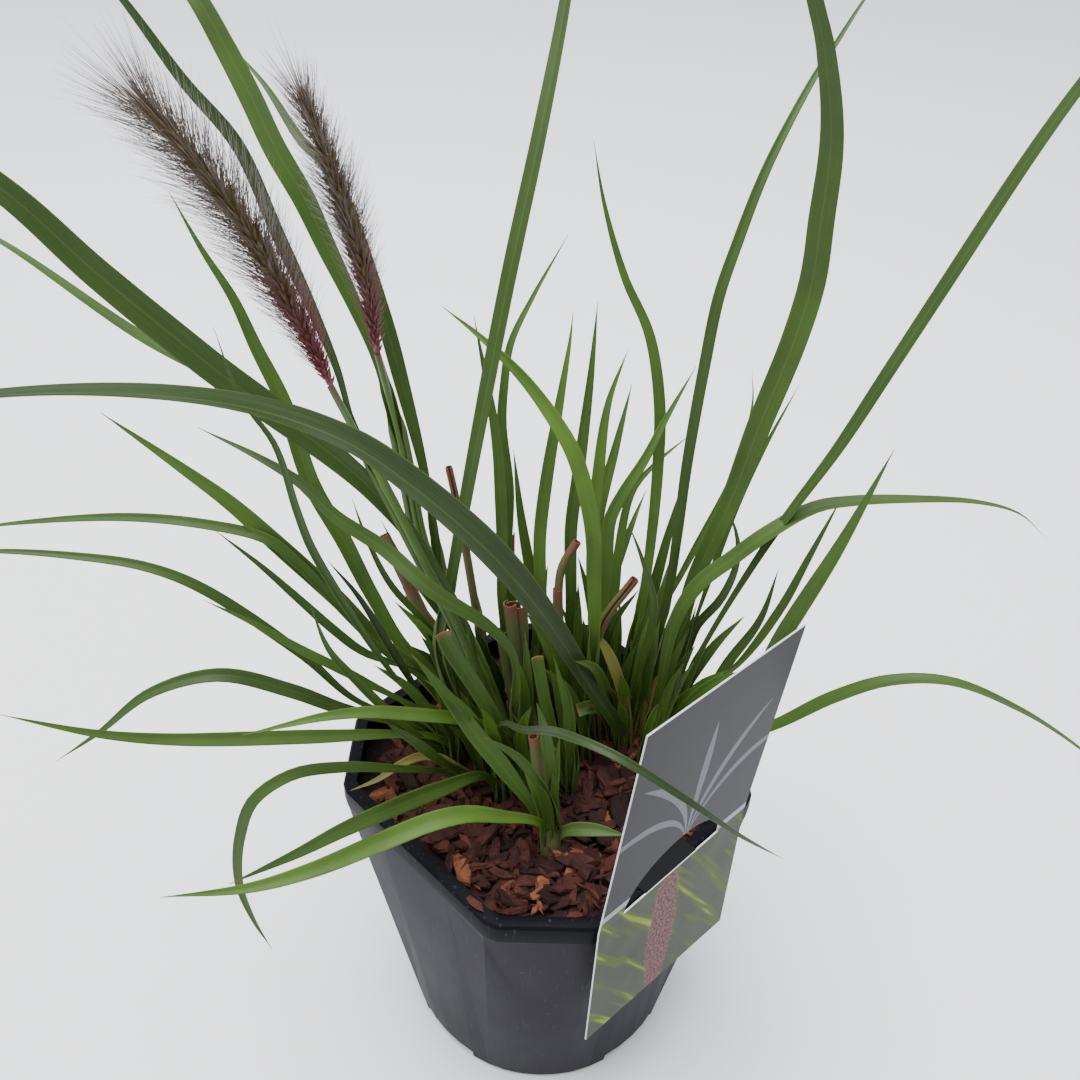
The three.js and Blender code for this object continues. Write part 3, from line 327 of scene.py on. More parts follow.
# %% Tillers of the left half
tillers = {
    "left_tall": dict(foot=(-28, 6), leaves=[
        blade(182, 10.5, 85, 0.3, (12, 88, -3), (39, 140, -4), (91, 194, -2), (120, 225, -2), (143, 254),
            (190, 290), (238, 302), turn=10),
        blade(172, 6, 90, 0.5, (14, 86, -3), (66, 160, -3), (122, 192, -3), (166, 222, -5), (196, 236, -6),
            turn=-30),
        blade(66, 6.5, 90, 0.3, (-7, 64, 16), (0, 91, 14), (8, 126, 11), (20, 163, 9), (40, 209, 8),
            (64, 253, 8), (89, 290, 11), (112, 330, 15), (130, 368, 20), turn=20, neck=0.8),
    ]),
    "left_back": dict(foot=(-36, 18), leaves=[
        blade(172, 7.5, 40, 0.6, (16, 32), (37, 51, -1), (53, 74, 1), (73, 99, 3), (92, 118, 2),
            (109, 131, 1), (139, 153), neck=0.7),
        blade(176, 4.5, 38, 0.45, (12, 28), (36, 50), (66, 93), (78, 105), (100, 110), (134, 111),
            (186, 103), (212, 96)),
        blade(178, 4, 40, 0.3, (14, 34), (42, 54, 5), (52, 64, 5), (66, 80, 4), (80, 96, 3), (96, 113, 3)),
    ]),
    "left_low": dict(foot=(-37, 4), leaves=[
        blade(192, 6, 20, 0.3, (20, 24), (50, 42), (68, 55), (94, 68), (120, 63), (143, 45), (162, 32)),
        blade(182, 4.5, 30, 0.35, (18, 22), (44, 38), (64, 62, -2), (99, 98, -1), (118, 108, -1),
            (144, 113, -1), (174, 115, -1), (204, 112, -1)),
        blade(198, 6, 14, 0.6, (3, 9), (12, 19), (30, 26), (62, 34), (114, 48), (140, 59), (170, 78)),
        blade(186, 4, 36, 0.6, (16, 30), (40, 52), (62, 70), (80, 86), (96, 98)),
        blade(180, 3.5, 30, 0.35, (15, 31, 1), (29, 57, 2), (42, 88, 3), (53, 120, 5), (56, 138, 7),
            (60, 169, 10), (68, 190, 14), (72, 217, 17)),
        blade(176, 3.5, 26, 0.1, (19, 38, -3), (29, 62, -3), (40, 88, -3), (51, 107, -2)),
        blade(188, 4, 16, 0.5, (18, 22, 4), (30, 38, 4), (41, 55, 3), (51, 74, 3), (56, 96, 2)),
    ]),
    "left_inner": dict(foot=(-24, 23), leaves=[
        blade(150, 7.5, 40, 0.5, (16, 20, 4), (39, 37, 10), (58, 59, 8), (73, 82, 6), (88, 104, 5),
            (103, 137), (115, 158, -1), (125, 177, -2), (137, 195, -1), (150, 216, -1), neck=0.7),
        blade(160, 3, 40, 0.4, (14, 35, 4), (29, 61, 7), (41, 80, 11), (49, 102, 13), (54, 123, 14)),
        blade(140, 3, 40, 0.45, (13, 36, 2), (25, 61, 8), (35, 83, 15), (42, 108, 21)),
    ]),
    "middle_left": dict(foot=(-8, -5), leaves=[
        blade(160, 6, 60, 0.4, (4, 42, 6), (4, 79, 9), (12, 93, 12), (34, 109, 17), (54, 120, 14),
            (72, 131, 16), (87, 141, 14), (104, 146, 12), (133, 151, 9)),
        blade(200, 5.5, 22, 0.75, (9, 28), (25, 42, -2), (45, 51, -3), (65, 57, -5), (83, 59, -6),
            (99, 58, -7), (113, 57, -8)),
    ]),
    "low_front_left": dict(foot=(-27, -6), leaves=[
        blade(212, 5, 12, 0.5, (16, 14), (41, 31), (62, 44), (82, 51), (97, 46), (105, 29), (109, 4),
            (107, -21), (102, -47), turn=30),
        blade(196, 4.5, 26, 0.3, (11, 13, 5), (19, 25, 8), (29, 39, 8), (41, 51, 4)),
        blade(215, 4, 6, 0.5, (10, 12), (22, 22, -7), (34, 24, -8), (45, 20, -9), (56, 15, -14), dry=0.4),
    ]),
    "middle_front": dict(foot=(10, -12), leaves=[
        blade(120, 5, 30, 0.5, (3, 16, 3), (5, 27, 5), (8, 50, 9), (11, 76, 12), neck=0.9, cut=True),
        blade(110, 3.2, 26, 0.6, (1, 23, -1), (4, 47, 2), (8, 75, 7), neck=0.8),
        blade(150, 3.5, 20, 0.35, (5, 10, 4), (12, 30, 9), (20, 50, 15), neck=0.8),
        blade(140, 3, 14, 0.35, (2, 6, 5), (4, 25, 10), (7, 44, 14), neck=0.8),
    ]),
    "kinked": dict(foot=(-19, -14), leaves=[
        blade(225, 7, 8, 0.4, (10, 20), (34, 31), (54, 38), (78, 45), (98, 49), (124, 56), turn=20),
        blade(150, 6.5, 24, 0.4, (2, 19), (3, 43, 1), (10, 62, 4), (19, 82, 8), (21, 90, 9), neck=0.9,
            cut=True),
    ]),
    "centre_left": dict(foot=(-9, 20), leaves=[
        blade(90, 5, 55, 0.5, (6, 40, 8), (10, 71, 12), (14, 89, 12), (20, 115, 13), (27, 139, 15),
            (40, 186, 24), neck=0.8),
        blade(75, 4, 70, 0.5, (10, 60, 10), (14, 87, 14), (22, 116, 16), (31, 141, 22), (37, 155, 23),
            (45, 169, 23), (58, 184, 18), (76, 204, 9), neck=0.8),
    ]),
    "centre_inner": dict(foot=(0, 26), leaves=[
        blade(90, 5.5, 50, 0.65, (4, 40, 3), (8, 74, 5), (16, 94, 6), (26, 116, 4), (42, 148, -1),
            (54, 166, -4), (62, 175, -5), neck=0.85),
        blade(90, 5, 34, 0.5, (10, 50, 4), (20, 64, 8), (32, 92, 14), (44, 120, 18), neck=0.9),
    ]),
    "centre": dict(foot=(12, 29), leaves=[
        blade(90, 5.5, 46, 0.4, (4, 34, 3), (10, 65, 4), (22, 94, 5), (30, 113, 3), (50, 150, -1),
            (66, 176, -3), neck=0.85),
    ]),
}
print(len(tillers), "tillers of the left half")

# %% Tillers of the right half and the front
tillers.update({
    "centre_right": dict(foot=(21, 31), leaves=[
        blade(90, 5.5, 60, 0.7, (5, 50, 3), (10, 86, 5), (22, 117, 4), (34, 146, 1), (44, 165, -6),
            neck=0.85),
        blade(90, 5.5, 50, 0.55, (8, 46), (16, 81, 3), (24, 95, 3), (42, 121, -4), (58, 142, -10),
            neck=0.9),
        blade(68, 4.5, 34, 0.55, (9, 47, 4), (38, 82, 2), (54, 93, 1), neck=0.8),
    ]),
    "right_middle": dict(foot=(29, 23), leaves=[
        blade(60, 5.5, 36, 0.55, (1, 30, 4), (2, 54, 9), (10, 87, 14), (15, 104, 16), (21, 114, 14),
            (31, 127, 10), (41, 139, 8), (59, 158, 4), neck=0.8),
        blade(62, 4, 40, 0.6, (6, 49, 7), (11, 66, 9), (21, 85, 13), (35, 106, 15), (44, 116, 10),
            (62, 124, 2), neck=0.8),
        blade(70, 5, 20, 0.3, (-1, 39, 7), (0, 64, 4), (4, 83, -5), neck=0.9),
    ]),
    "arching_left": dict(foot=(15, 12), leaves=[
        blade(140, 6.5, 70, 0.85, (0, 50, -4), (2, 94, -4), (5, 122, -4), (17, 145, -7), (29, 158, -7),
            (44, 170, -6), (63, 180, -4), (81, 187, -2), turn_end=35, neck=0.85),
    ]),
    "broad_left": dict(foot=(33, 15), leaves=[
        blade(205, 15, 12, 0.1, (4, 14, 3), (20, 48, 3), (41, 92, 3), (64, 131, 3), (93, 169, 2),
            (113, 190, 2), (142, 208, 1), (183, 221), (224, 226), (264, 222), (292, 210), turn=-10,
            turn_end=-62),
        blade(200, 6, 8, 0.3, (6, 20, 1), (15, 31, 1), (23, 31, 1), neck=0.9, cut=True),
    ]),
    "back_right": dict(foot=(31, 31), leaves=[
        blade(90, 5, 60, 0.65, (4, 40, -4), (10, 70, -8), (20, 94, -10), (30, 116, -11), (38, 144, -10),
            (44, 172, -4), (49, 194, 7), (56, 220, 16), (62, 242, 21), neck=0.8),
        blade(50, 5, 30, 0.55, (10, 36), (19, 64), (26, 90), (34, 116), neck=0.8),
    ]),
    "right_tall": dict(foot=(37, 23), leaves=[
        blade(50, 4.5, 60, 0.35, (8, 30), (18, 69), (20, 100), (21, 136), (25, 177), (29, 203), (36, 219),
            (50, 244), (73, 269), (86, 279), (102, 291), (122, 302), neck=0.9),
        blade(62, 3, 40, 0.4, (14, 50), (33, 80, -6), (60, 112, -12), (81, 133, -9), (90, 143, -4)),
        blade(120, 3.5, 30, 0.4, (-5, 46, 2), (-9, 81, 1), (-6, 107, 7), (-3, 125, 13), neck=0.9),
    ]),
    "right_broad": dict(foot=(45, 22), leaves=[
        blade(33, 10, 40, 0.45, (10, 24), (14, 49, 3), (19, 75, 5), (26, 98, 4), (33, 119, 3), (41, 148, 3),
            (51, 183, 2), (56, 204, 3), (55, 229, 3), (54, 250, 3), (51, 265, 3), (43, 287, 3),
            (32, 310, 3), (25, 345, 3), (29, 384, 3), turn=10, neck=0.6),
        blade(46, 4, 24, 0.15, (11, 23, -2), (19, 41, -2), (24, 53, -2), (33, 65, -6), (44, 76, -4),
            (50, 84, 1), (54, 96, 12)),
        blade(36, 3, 50, 0.6, (21, 48, 3), (44, 103, 9), (60, 128, 12), (75, 151, 13)),
        blade(60, 3, 20, 0.1, (5, 27, -5), (10, 45, -7), (15, 71, -9)),
    ]),
    "right_long": dict(foot=(46, 13), leaves=[
        blade(12, 5.5, 50, 0.3, (10, 33), (18, 62), (38, 112), (46, 128), (59, 153), (73, 186),
            (86, 215, 1), (105, 260, 1), (117, 284, 1), (158, 352, 1), (198, 393, 1), turn=30),
        blade(8, 7, 20, 0.45, (1, 42, 1), (5, 74, 4), (13, 92, 4), (24, 104, 3), (37, 117, 2), (54, 127, 3),
            (68, 129, 3), (90, 130, 1), (118, 127, 1), (138, 120, 1), (153, 107), turn_end=50),
        blade(20, 4, 40, 0.5, (16, 30), (37, 37, 3), (57, 61, 7), (68, 86, 9), (79, 115, 10)),
    ]),
    "right_low": dict(foot=(45, 4), leaves=[
        blade(10, 7, 20, 0.6, (20, 20), (43, 43, 4), (52, 68, 5), (66, 109, 4), (72, 131, 3), (80, 156, 4),
            neck=0.7),
        blade(25, 4.5, 16, 0.35, (10, 14), (24, 25, 3), (36, 44, 5), (48, 65, 4), (54, 91, 5)),
        blade(-10, 6.5, 12, 0.45, (8, 10), (30, 22), (49, 38, -1), (69, 58, -1), (88, 71, -1),
            (110, 75, -1), (137, 67, -2), (163, 52, -2), (190, 31, -2), turn=20, turn_end=60),
    ]),
    "front": dict(foot=(2, -38), leaves=[
        blade(150, 7.5, 10, 0.4, (6, 12), (20, 28), (36, 43), (52, 60), (66, 72)),
        blade(200, 7.5, 6, 0.9, (5, 14), (22, 26, 1), (36, 34, 2), (50, 36, 3), (69, 32, 3), (96, 26, 3),
            (119, 24, 2), (149, 29)),
        blade(-10, 6, 3, 0.5, (5, 7, 1), (16, 11, 1), (30, 11, 1)),
    ], stems=[
        dict(heading=150, radius=4, end_radius=2.8, path=[(6, 16, -4), (11, 31, -7), (15, 46, -9)]),
    ]),
    "front_right": dict(foot=(-10, -15), leaves=[
        blade(-90, 3.2, 30, 0.05, (0, 22, -4), (5, 47, -10), (18, 64, -7), (36, 80, 0), (66, 111, 13),
            (78, 115, 29), (83, 102, 51), (78, 79, 71), (63, 46, 94)),
    ]),
})
print(len(tillers), "tillers,", sum(len(row["leaves"]) for row in tillers.values()), "leaves")

# %% Culms, plumes and cut stems
culms = {
    "culm_tall": dict(foot=(-17, -4), stems=[
        dict(heading=164, radius=2, end_radius=1.3, path=[(18, 76, 3), (33, 115, 5), (44, 139, 4),
            (56, 163, 2), (63, 184, 5)]),
    ], leaves=[
        blade(164, 5, 172, 0.15, (18, 76, 3), (33, 115, 5), (44, 139, 4), (57, 164, 1), (65, 185, -5),
            (74, 204, -9), (86, 228, -13), (98, 256, -15), (114, 274, -15), (132, 297, -16),
            (156, 322, -17), turn=20),
    ]),
    "culm_short": dict(foot=(-13, 5), stems=[
        dict(heading=142, radius=2, end_radius=1.2, path=[(18, 40), (38, 74, 1), (51, 93, 1), (58, 135, 2),
            (62, 158, 3), (64, 180, 6)]),
    ], leaves=[
        blade(142, 9, 172, 0.45, (18, 40), (38, 74, 1), (51, 93, 1), (58, 135, 2), (63, 158, 2), (72, 176),
            (83, 193, -1), (95, 209, -2), (105, 225, -2), (117, 241, -1), (128, 256, -2), (139, 271, -2),
            (152, 288, -1), (185, 309, -1), (222, 322), turn=20),
        blade(135, 6.5, 110, 0.35, (22, 36), (48, 68, -2), (60, 121, -3), (71, 156, -3), (80, 185, -2),
            (103, 233), (120, 240), (140, 255), (163, 266)),
    ]),
}
plumes = {
    "plume_tall": dict(foot=(-17, -4), heading=164, path=[(63, 185, 5), (68, 205, 9), (74, 225, 13),
        (80, 242, 16), (89, 257, 18), (97, 269, 20), (105, 277, 20)], spread=(7, 20, 26, 32, 32, 31, 28)),
    "plume_short": dict(foot=(-13, 5), heading=142, path=[(64, 181, 6), (65, 202, 7), (68, 220, 8),
        (73, 237, 9), (77, 250, 10), (83, 262, 10), (86, 267, 10)], spread=(5, 12, 18, 22, 21, 18, 14)),
}
cut_stems = {
    "cut_stem_left_tall": dict(foot=(-25, 31), heading=172, radius=1.9, end_radius=1.6,
        path=[(7, 60), (14, 117), (17, 135)]),
    "cut_stem_left": dict(foot=(-28, 14), heading=144, radius=2.6, end_radius=2.5,
        path=[(6, 12), (24, 42), (53, 92)]),
    "cut_stem_low": dict(foot=(-38, 27), heading=164, radius=2.6, end_radius=2.5,
        path=[(16, 20), (30, 37)]),
    "cut_stem_back": dict(foot=(-18, 47), heading=90, radius=1.9, end_radius=1.7,
        path=[(0, 50), (0, 93)]),
    "cut_stem_centre": dict(foot=(8, 18), heading=90, radius=2.3, end_radius=1.9,
        path=[(4, 33, 2), (7, 64, 5), (10, 90, 5), (12, 103, -1)]),
    "cut_stem_leaning": dict(foot=(22, 16), heading=20, radius=2.3, end_radius=2.1,
        path=[(-3, 50, 4), (0, 69, 4), (12, 91, 2)]),
}
cut_sheaths = dict(foot=(-3, 5), heading=142, path=[(12, 32), (16, 60), (19, 82)])
print(len(culms), "culms,", len(plumes), "plumes,", len(cut_stems), "cut stems")

# %% [markdown]
# ## Young leaves
#
# A clump also has short young leaves. They are drawn at random from one seeded stream and drawn
# again until each stands clear of the rest. The stream and the test are those of the solids, so
# the same leaves come out here.

# %% Seeded stream, and samples along a path
young_seed = 33
stream_step = 0x6D2B79F5
sample_gap = 5


def random_stream(seed):
    state = seed
    full = 0xFFFFFFFF
    while True:
        state = (state + stream_step) & full
        mixed = ((state ^ (state >> 15)) * (1 | state)) & full
        mixed = ((mixed + (((mixed ^ (mixed >> 7)) * (61 | mixed)) & full)) & full) ^ mixed
        yield ((mixed ^ (mixed >> 14)) & full) / (full + 1)


def shoot_path(height, lean, first_share, first_rise):
    places = ((first_share, first_rise), (0.6, 0.8), (1, 1))
    return [(height * lean * share, height * rise) for share, rise in places]


def spaced_samples(foot, heading, path):
    points = rooted_points(foot, heading, path)
    places, lengths = measured(points)
    count = math.ceil(lengths[-1] / sample_gap)
    return curve_at(points, np.interp(np.linspace(0, lengths[-1], count + 1), lengths, places))


def plant_samples():
    for row in [*tillers.values(), *culms.values()]:
        for strand in row["leaves"] + row.get("stems", []):
            yield spaced_samples(row["foot"], strand["heading"], strand["path"])
    for row in [*cut_stems.values(), cut_sheaths]:
        yield spaced_samples(row["foot"], row["heading"], row["path"])


print("samples of the typed plant:", sum(len(samples) for samples in plant_samples()))

# %% Young leaves that stand clear
young_count = 16
young_tries = 4000
young_fan = 70
young_clearance = 6.5
foot_clearance = 5
clump_radius = 60
rim_height = 153.0
over_rim = 8


def add_young_leaves():
    draw = random_stream(young_seed)
    taken = np.vstack(list(plant_samples()))
    shoots = list(tillers.values())
    added = 0
    for _ in range(young_tries):
        if added == young_count:
            break
        shoot = shoots[int(next(draw) * len(shoots))]
        heading = shoot["leaves"][0]["heading"] - young_fan + 2 * young_fan * next(draw)
        height = 30 + 50 * next(draw)
        lean = 0.12 + 0.38 * next(draw)
        width = 3.2 + 1.8 * next(draw)
        path = shoot_path(height, lean, 0.25, 0.45)
        heading = math.floor(heading + 0.5)
        samples = spaced_samples(shoot["foot"], heading, path)
        free = samples[np.hypot(*(samples[:, :2] - shoot["foot"]).T) >= foot_clearance]
        low = (np.hypot(free[:, 0], free[:, 1]) > clump_radius) & (free[:, 2] < rim_height + over_rim)
        gaps = np.linalg.norm(free[:, None] - taken[None], axis=2)
        if low.any() or gaps.min(initial=np.inf) < young_clearance:
            continue
        shoot["leaves"].append(blade(heading, width, height * 0.3, 0.45, *path, neck=0.8))
        taken = np.vstack([taken, samples])
        added += 1
    return added


print("young leaves added:", add_young_leaves())

# %% [markdown]
# Under them a crowd of smaller shoots closes the foot of the clump. They are too fine to be
# solids, and they stay inside the clump, so they are drawn here only. Each points roughly where
# its tiller's leaves point. The front has fewer, because the picture shows bark there.

# %% Small shoots round each foot
small_count = 6
front_count = 3
front_side = -2
shoot_fan = 40
dry_shoots = 0.14
small_draw = np.random.default_rng(61)
for row in tillers.values():
    ways = np.radians([leaf["heading"] for leaf in row["leaves"]])
    middle = math.degrees(math.atan2(np.sin(ways).mean(), np.cos(ways).mean()))
    row["shoots"] = []
    for _ in range(small_count if row["foot"][1] > front_side else front_count):
        near = (row["foot"][0] + small_draw.uniform(-5, 5), row["foot"][1] + small_draw.uniform(-4, 6))
        height = small_draw.uniform(28, 74)
        lean = small_draw.uniform(0.12, 0.55)
        row["shoots"].append((near, blade(
            middle + small_draw.uniform(-shoot_fan, shoot_fan), small_draw.uniform(3.5, 6), height * 0.45,
            small_draw.uniform(0.25, 0.85), *shoot_path(height, lean, 0.2, 0.4), neck=0.8,
            dry=0.4 * (small_draw.uniform() < dry_shoots))))
print(sum(len(row["shoots"]) for row in tillers.values()), "small shoots")

# %% [markdown]
# ## From a path to a strip
#
# A grass leaf is one strip. Low down it is rolled into a sheath; at the collar it opens, and
# above it the blade is folded a little along its keel. So one sweep can make all of it, with a
# curl that goes from nearly closed to nearly flat. Each sampled point of the path carries what
# the sweep needs: half width, radius of the curl, and the two directions of the section.
# The upper face looks at the light, as leaves do, with a typed turn away from it.

# %% A blade's outline, and the two directions across it
light_way = np.array([0.0, -0.6, 0.8])
blade_thickness = 0.5
usual_neck = 0.42
widest_from = 0.38
widest_to = 0.45
tip_power = 1.7
tip_share = 0.03


def unit(rows):
    return rows / np.maximum(np.linalg.norm(rows, axis=-1, keepdims=True), 1e-9)


def smoothstep(value, low, high):
    share = np.clip((value - low) / (high - low), 0, 1)
    return share * share * (3 - 2 * share)


def blade_shape(share, neck, cut):
    opening = neck + (1 - neck) * smoothstep(share, 0, widest_from)
    closing = 1 - (not cut) * np.clip((share - widest_to) / (1 - widest_to), 0, 1) ** tip_power
    return np.maximum(opening * closing, tip_share)


def section_ways(points, turn):
    """Sideways and upward directions at each point, turned by some degrees about the path."""
    tangent = unit(np.gradient(points, axis=0))
    across = unit(np.cross(tangent, light_way))
    face = np.cross(across, tangent)
    angle = np.radians(np.broadcast_to(turn, len(points)))[:, None]
    return across * np.cos(angle) + face * np.sin(angle), face * np.cos(angle) - across * np.sin(angle)


print("a blade's width along it:", blade_shape(np.array([0, 0.25, 0.5, 1.0]), usual_neck, False))

# %% A leaf as a row of sampled points
sheath_radius = 2.3
sheath_share = 0.38
sheath_curl = 2.75
blade_curl = 0.3
keel_fold = 0.16
sample_step = 4.0
strand_shift = 0.35
unroll_below = 16
unroll_above = 12
turn_within = 20
collar_pinch = 0.35


def strand_fields(share, **fields):
    """Every field of a strand as a row as long as its path; a plain number is repeated."""
    whole = dict(keel=0.0, sheath=0.0, squeeze=1.0, thick=blade_thickness * MM)
    whole.update(fields, along=share)
    return {name: value if np.ndim(value) == 2 else value + 0 * share for name, value in whole.items()}


def toned(share, tone, second):
    return np.array([[tone, second, 0.0]] * len(share))


def leaf_strand(foot, leaf, index):
    typed = rooted_points(foot, leaf["heading"], leaf["path"], index * strand_shift)
    total = measured(typed)[1][-1]
    collar = min(leaf["sheath"], total * 0.6) + root_depth
    stops = np.linspace(0, total, max(14, int(total / sample_step)))
    points = at_lengths(typed, stops)
    share = np.clip((stops - collar) / (total - collar), 0, 1)
    turn = leaf.get("turn", 0)
    turn = turn + (leaf.get("turn_end", turn) - turn) * share
    side, top = section_ways(points, turn * smoothstep(stops, collar - turn_within, collar + turn_within))
    opened = smoothstep(stops, collar - unroll_below, collar + unroll_above)
    climb = smoothstep(stops, root_depth, collar)
    widest = max(sheath_radius, leaf["width"] * sheath_share)
    rolled = sheath_radius + (widest - sheath_radius) * climb
    flatness = (1.7 - 0.6 * climb) / rolled
    curl = sheath_curl + (blade_curl - sheath_curl) * opened
    outline = blade_shape(share, leaf.get("neck", usual_neck), "cut" in leaf)
    half = rolled * sheath_curl * (1 - opened) + leaf["width"] / 2 * outline * opened
    half = half * (1 - collar_pinch * np.sin(np.pi * opened) ** 2)
    points = points - top * (rolled * flatness * (1 - opened))[:, None]
    return strand_fields(
        share, centre=points * MM, side=side, top=top, curl=curl, bow=half / curl * MM,
        tone=toned(share, leaf["tone"], leaf.get("dry", 0.0)),
        squeeze=flatness * (1 - opened) + opened, keel=keel_fold * half * opened * MM,
        thick=np.minimum(blade_thickness, half * 0.4) * MM,
        sheath=1 - opened + np.clip(1.4 - stops / (root_depth + 12), 0, 1), reach=stops * 0.01)


sample_leaf = leaf_strand((0, 0), blade(0, 9, 30, 0.4, (20, 50), (60, 90)), 0)
print("a short leaf has", len(sample_leaf["centre"]), "sampled points")


# %% Strands as a mesh of edges with named attributes
def strands_object(name, strands):
    counts = [len(strand["centre"]) for strand in strands]
    starts = np.cumsum([0] + counts[:-1])
    edges = [(s + i, s + i + 1) for s, count in zip(starts, counts) for i in range(count - 1)]
    mesh = bpy.data.meshes.new(name)
    mesh.from_pydata(np.vstack([strand["centre"] for strand in strands]).tolist(), edges, [])
    for key in strands[0]:
        values = np.concatenate([strand[key] for strand in strands]).astype(np.float32)
        kind, field = ("FLOAT_VECTOR", "vector") if values.ndim == 2 else ("FLOAT", "value")
        mesh.attributes.new(key, kind, "POINT").data.foreach_set(field, values.ravel())
    return linked(bpy.data.objects.new(name, mesh))


print("a strand's fields:", ", ".join(sample_leaf))

# %% [markdown]
# ## The sweep, as Geometry Nodes
#
# The tree turns each row of points into a curve and sweeps a circle along it. Then it moves each
# point of the tube to its place on the curled strip. The circle's own x says how far across the
# strip a point lies, from -1 to 1, and its y says whether it is on the upper or the lower skin.
# The tree ends in Realize Instances and Set Material, and its result is taken as a plain mesh.

# %% Start a tree, and run it
def start_tree(name, **sizes):
    tree = bpy.data.node_groups.new(name, "GeometryNodeTree")
    tree.interface.new_socket("Geometry", in_out="INPUT", socket_type="NodeSocketGeometry")
    kinds = {float: "NodeSocketFloat", int: "NodeSocketInt"}
    for label, value in sizes.items():
        kind = kinds.get(type(value), "NodeSocketMaterial")
        tree.interface.new_socket(label, in_out="INPUT", socket_type=kind).default_value = value
    tree.interface.new_socket("Geometry", in_out="OUTPUT", socket_type="NodeSocketGeometry")
    return tree, add(tree, "NodeGroupInput").outputs


def end_tree(tree, geometry, finish):
    smooth = add(tree, "GeometryNodeSetShadeSmooth", {"Geometry": geometry})
    real = add(tree, "GeometryNodeRealizeInstances", {"Geometry": smooth})
    dressed = add(tree, "GeometryNodeSetMaterial", {"Geometry": real, "Material": finish})
    add(tree, "NodeGroupOutput", {"Geometry": dressed})


def grow(source, tree, **sizes):
    modifier = source.modifiers.new("grow", "NODES")
    modifier.node_group = tree
    for item in tree.interface.items_tree:
        if item.in_out == "INPUT" and item.name != "Geometry":
            modifier[item.identifier] = sizes.get(item.name, item.default_value)
    evaluated = source.evaluated_get(bpy.context.evaluated_depsgraph_get())
    mesh = bpy.data.meshes.new_from_object(evaluated)
    name = source.name
    source.modifiers.remove(modifier)
    bpy.data.objects.remove(source)
    mesh.name = name
    return linked(bpy.data.objects.new(name, mesh))


def triangles(mesh):
    return sum(len(face.vertices) - 2 for face in mesh.polygons)


print("tree helpers ready")

# %% The strip tree: a circle swept along the path
strip_tree, given = start_tree("curled_strip", Sides=14, Ripple=0.5, Finish=leaf_finish)
tree = strip_tree
read = {name: add(tree, NAMED, {"Name": name}, data_type="FLOAT_VECTOR")
        for name in ("centre", "side", "top", "ring")}
read.update({name: add(tree, NAMED, {"Name": name}, data_type="FLOAT")
             for name in ("curl", "bow", "squeeze", "keel", "thick", "reach")})
path = add(tree, "GeometryNodeMeshToCurve", {"Mesh": given["Geometry"]})
circle = add(tree, "GeometryNodeCurvePrimitiveCircle", {"Resolution": given["Sides"], "Radius": 1.0})
here = add(tree, "GeometryNodeInputPosition")
ring = add(tree, STORE, {
    "Geometry": circle, "Name": "ring", "Value": here}, data_type="FLOAT_VECTOR")
tube = add(tree, "GeometryNodeCurveToMesh", {
    "Curve": path, "Profile Curve": ring, "Scale": 0.001, "Fill Caps": True})
print("swept tube:", len(tree.nodes), "nodes")

# %% The strip tree: each point's place on the curled strip
ring_parts = add(tree, SPLIT, {"Vector": read["ring"]}).outputs
known = dict(read, x=ring_parts["X"], y=ring_parts["Y"], ripple=given["Ripple"],
             wave=add(tree, NOISE, {"Vector": read["centre"], "Scale": 30.0, "Detail": 1.0}))
for name, operation, *terms in (
    ("across", "MULTIPLY", "x", -1.0),
    # the skin's height over the strip's middle, steep at the two margins
    ("skin", "MULTIPLY", "y", 2.5),
    ("skin", "MINIMUM", "skin", 1.0),
    ("skin", "MAXIMUM", "skin", -1.0),
    ("skin", "MULTIPLY", "skin", "thick"),
    ("skin", "MULTIPLY", "skin", 0.5),
    # the place on the arc of the curl
    ("bend", "MULTIPLY", "across", "curl"),
    ("sine", "SINE", "bend"),
    ("cosine", "COSINE", "bend"),
    ("inner", "SUBTRACT", "bow", "skin"),
    ("over", "MULTIPLY", "inner", "sine"),
    ("fall", "MULTIPLY", "inner", "cosine"),
    ("rise", "SUBTRACT", "bow", "fall"),
    ("rise", "MULTIPLY", "rise", "squeeze"),
    # the keel's fold, with a slow wave along the margins
    ("wave", "SUBTRACT", "wave", 0.5),
    ("wave", "MULTIPLY", "wave", "across"),
    ("wave", "MULTIPLY", "wave", "ripple"),
    ("fold", "ABSOLUTE", "across"),
    ("fold", "ADD", "fold", "wave"),
    ("fold", "MULTIPLY_ADD", "fold", "keel", "rise"),
    ("flat", "MULTIPLY_ADD", "across", 0.5, 0.5),
):
    terms = {place: known.get(term, term) for place, term in enumerate(terms)}
    known[name] = add(tree, MATH, terms, operation=operation)
spot = read["centre"]
for way, size in (("side", "over"), ("top", "fold")):
    step = add(tree, VECTOR_MATH, {0: read[way], "Scale": known[size]}, operation="SCALE")
    spot = add(tree, VECTOR_MATH, {0: spot, 1: step}, operation="ADD")
strip = add(tree, "GeometryNodeSetPosition", {"Geometry": tube, "Position": spot})
flat = add(tree, COMBINE, {"X": known["flat"], "Y": read["reach"]})
strip = add(tree, STORE, {
    "Geometry": strip, "Name": "UVMap", "Value": flat}, data_type="FLOAT2", domain="CORNER")
end_tree(tree, strip, given["Finish"])
print("strip tree:", len(tree.nodes), "nodes")

# %% Grow every tiller and culm
def dress(piece, slot_name, *replaced):
    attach(piece, "root")
    if replaced:
        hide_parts(*replaced)
    print(f"{piece.name}: {triangles(piece.data)} triangles")
    return piece


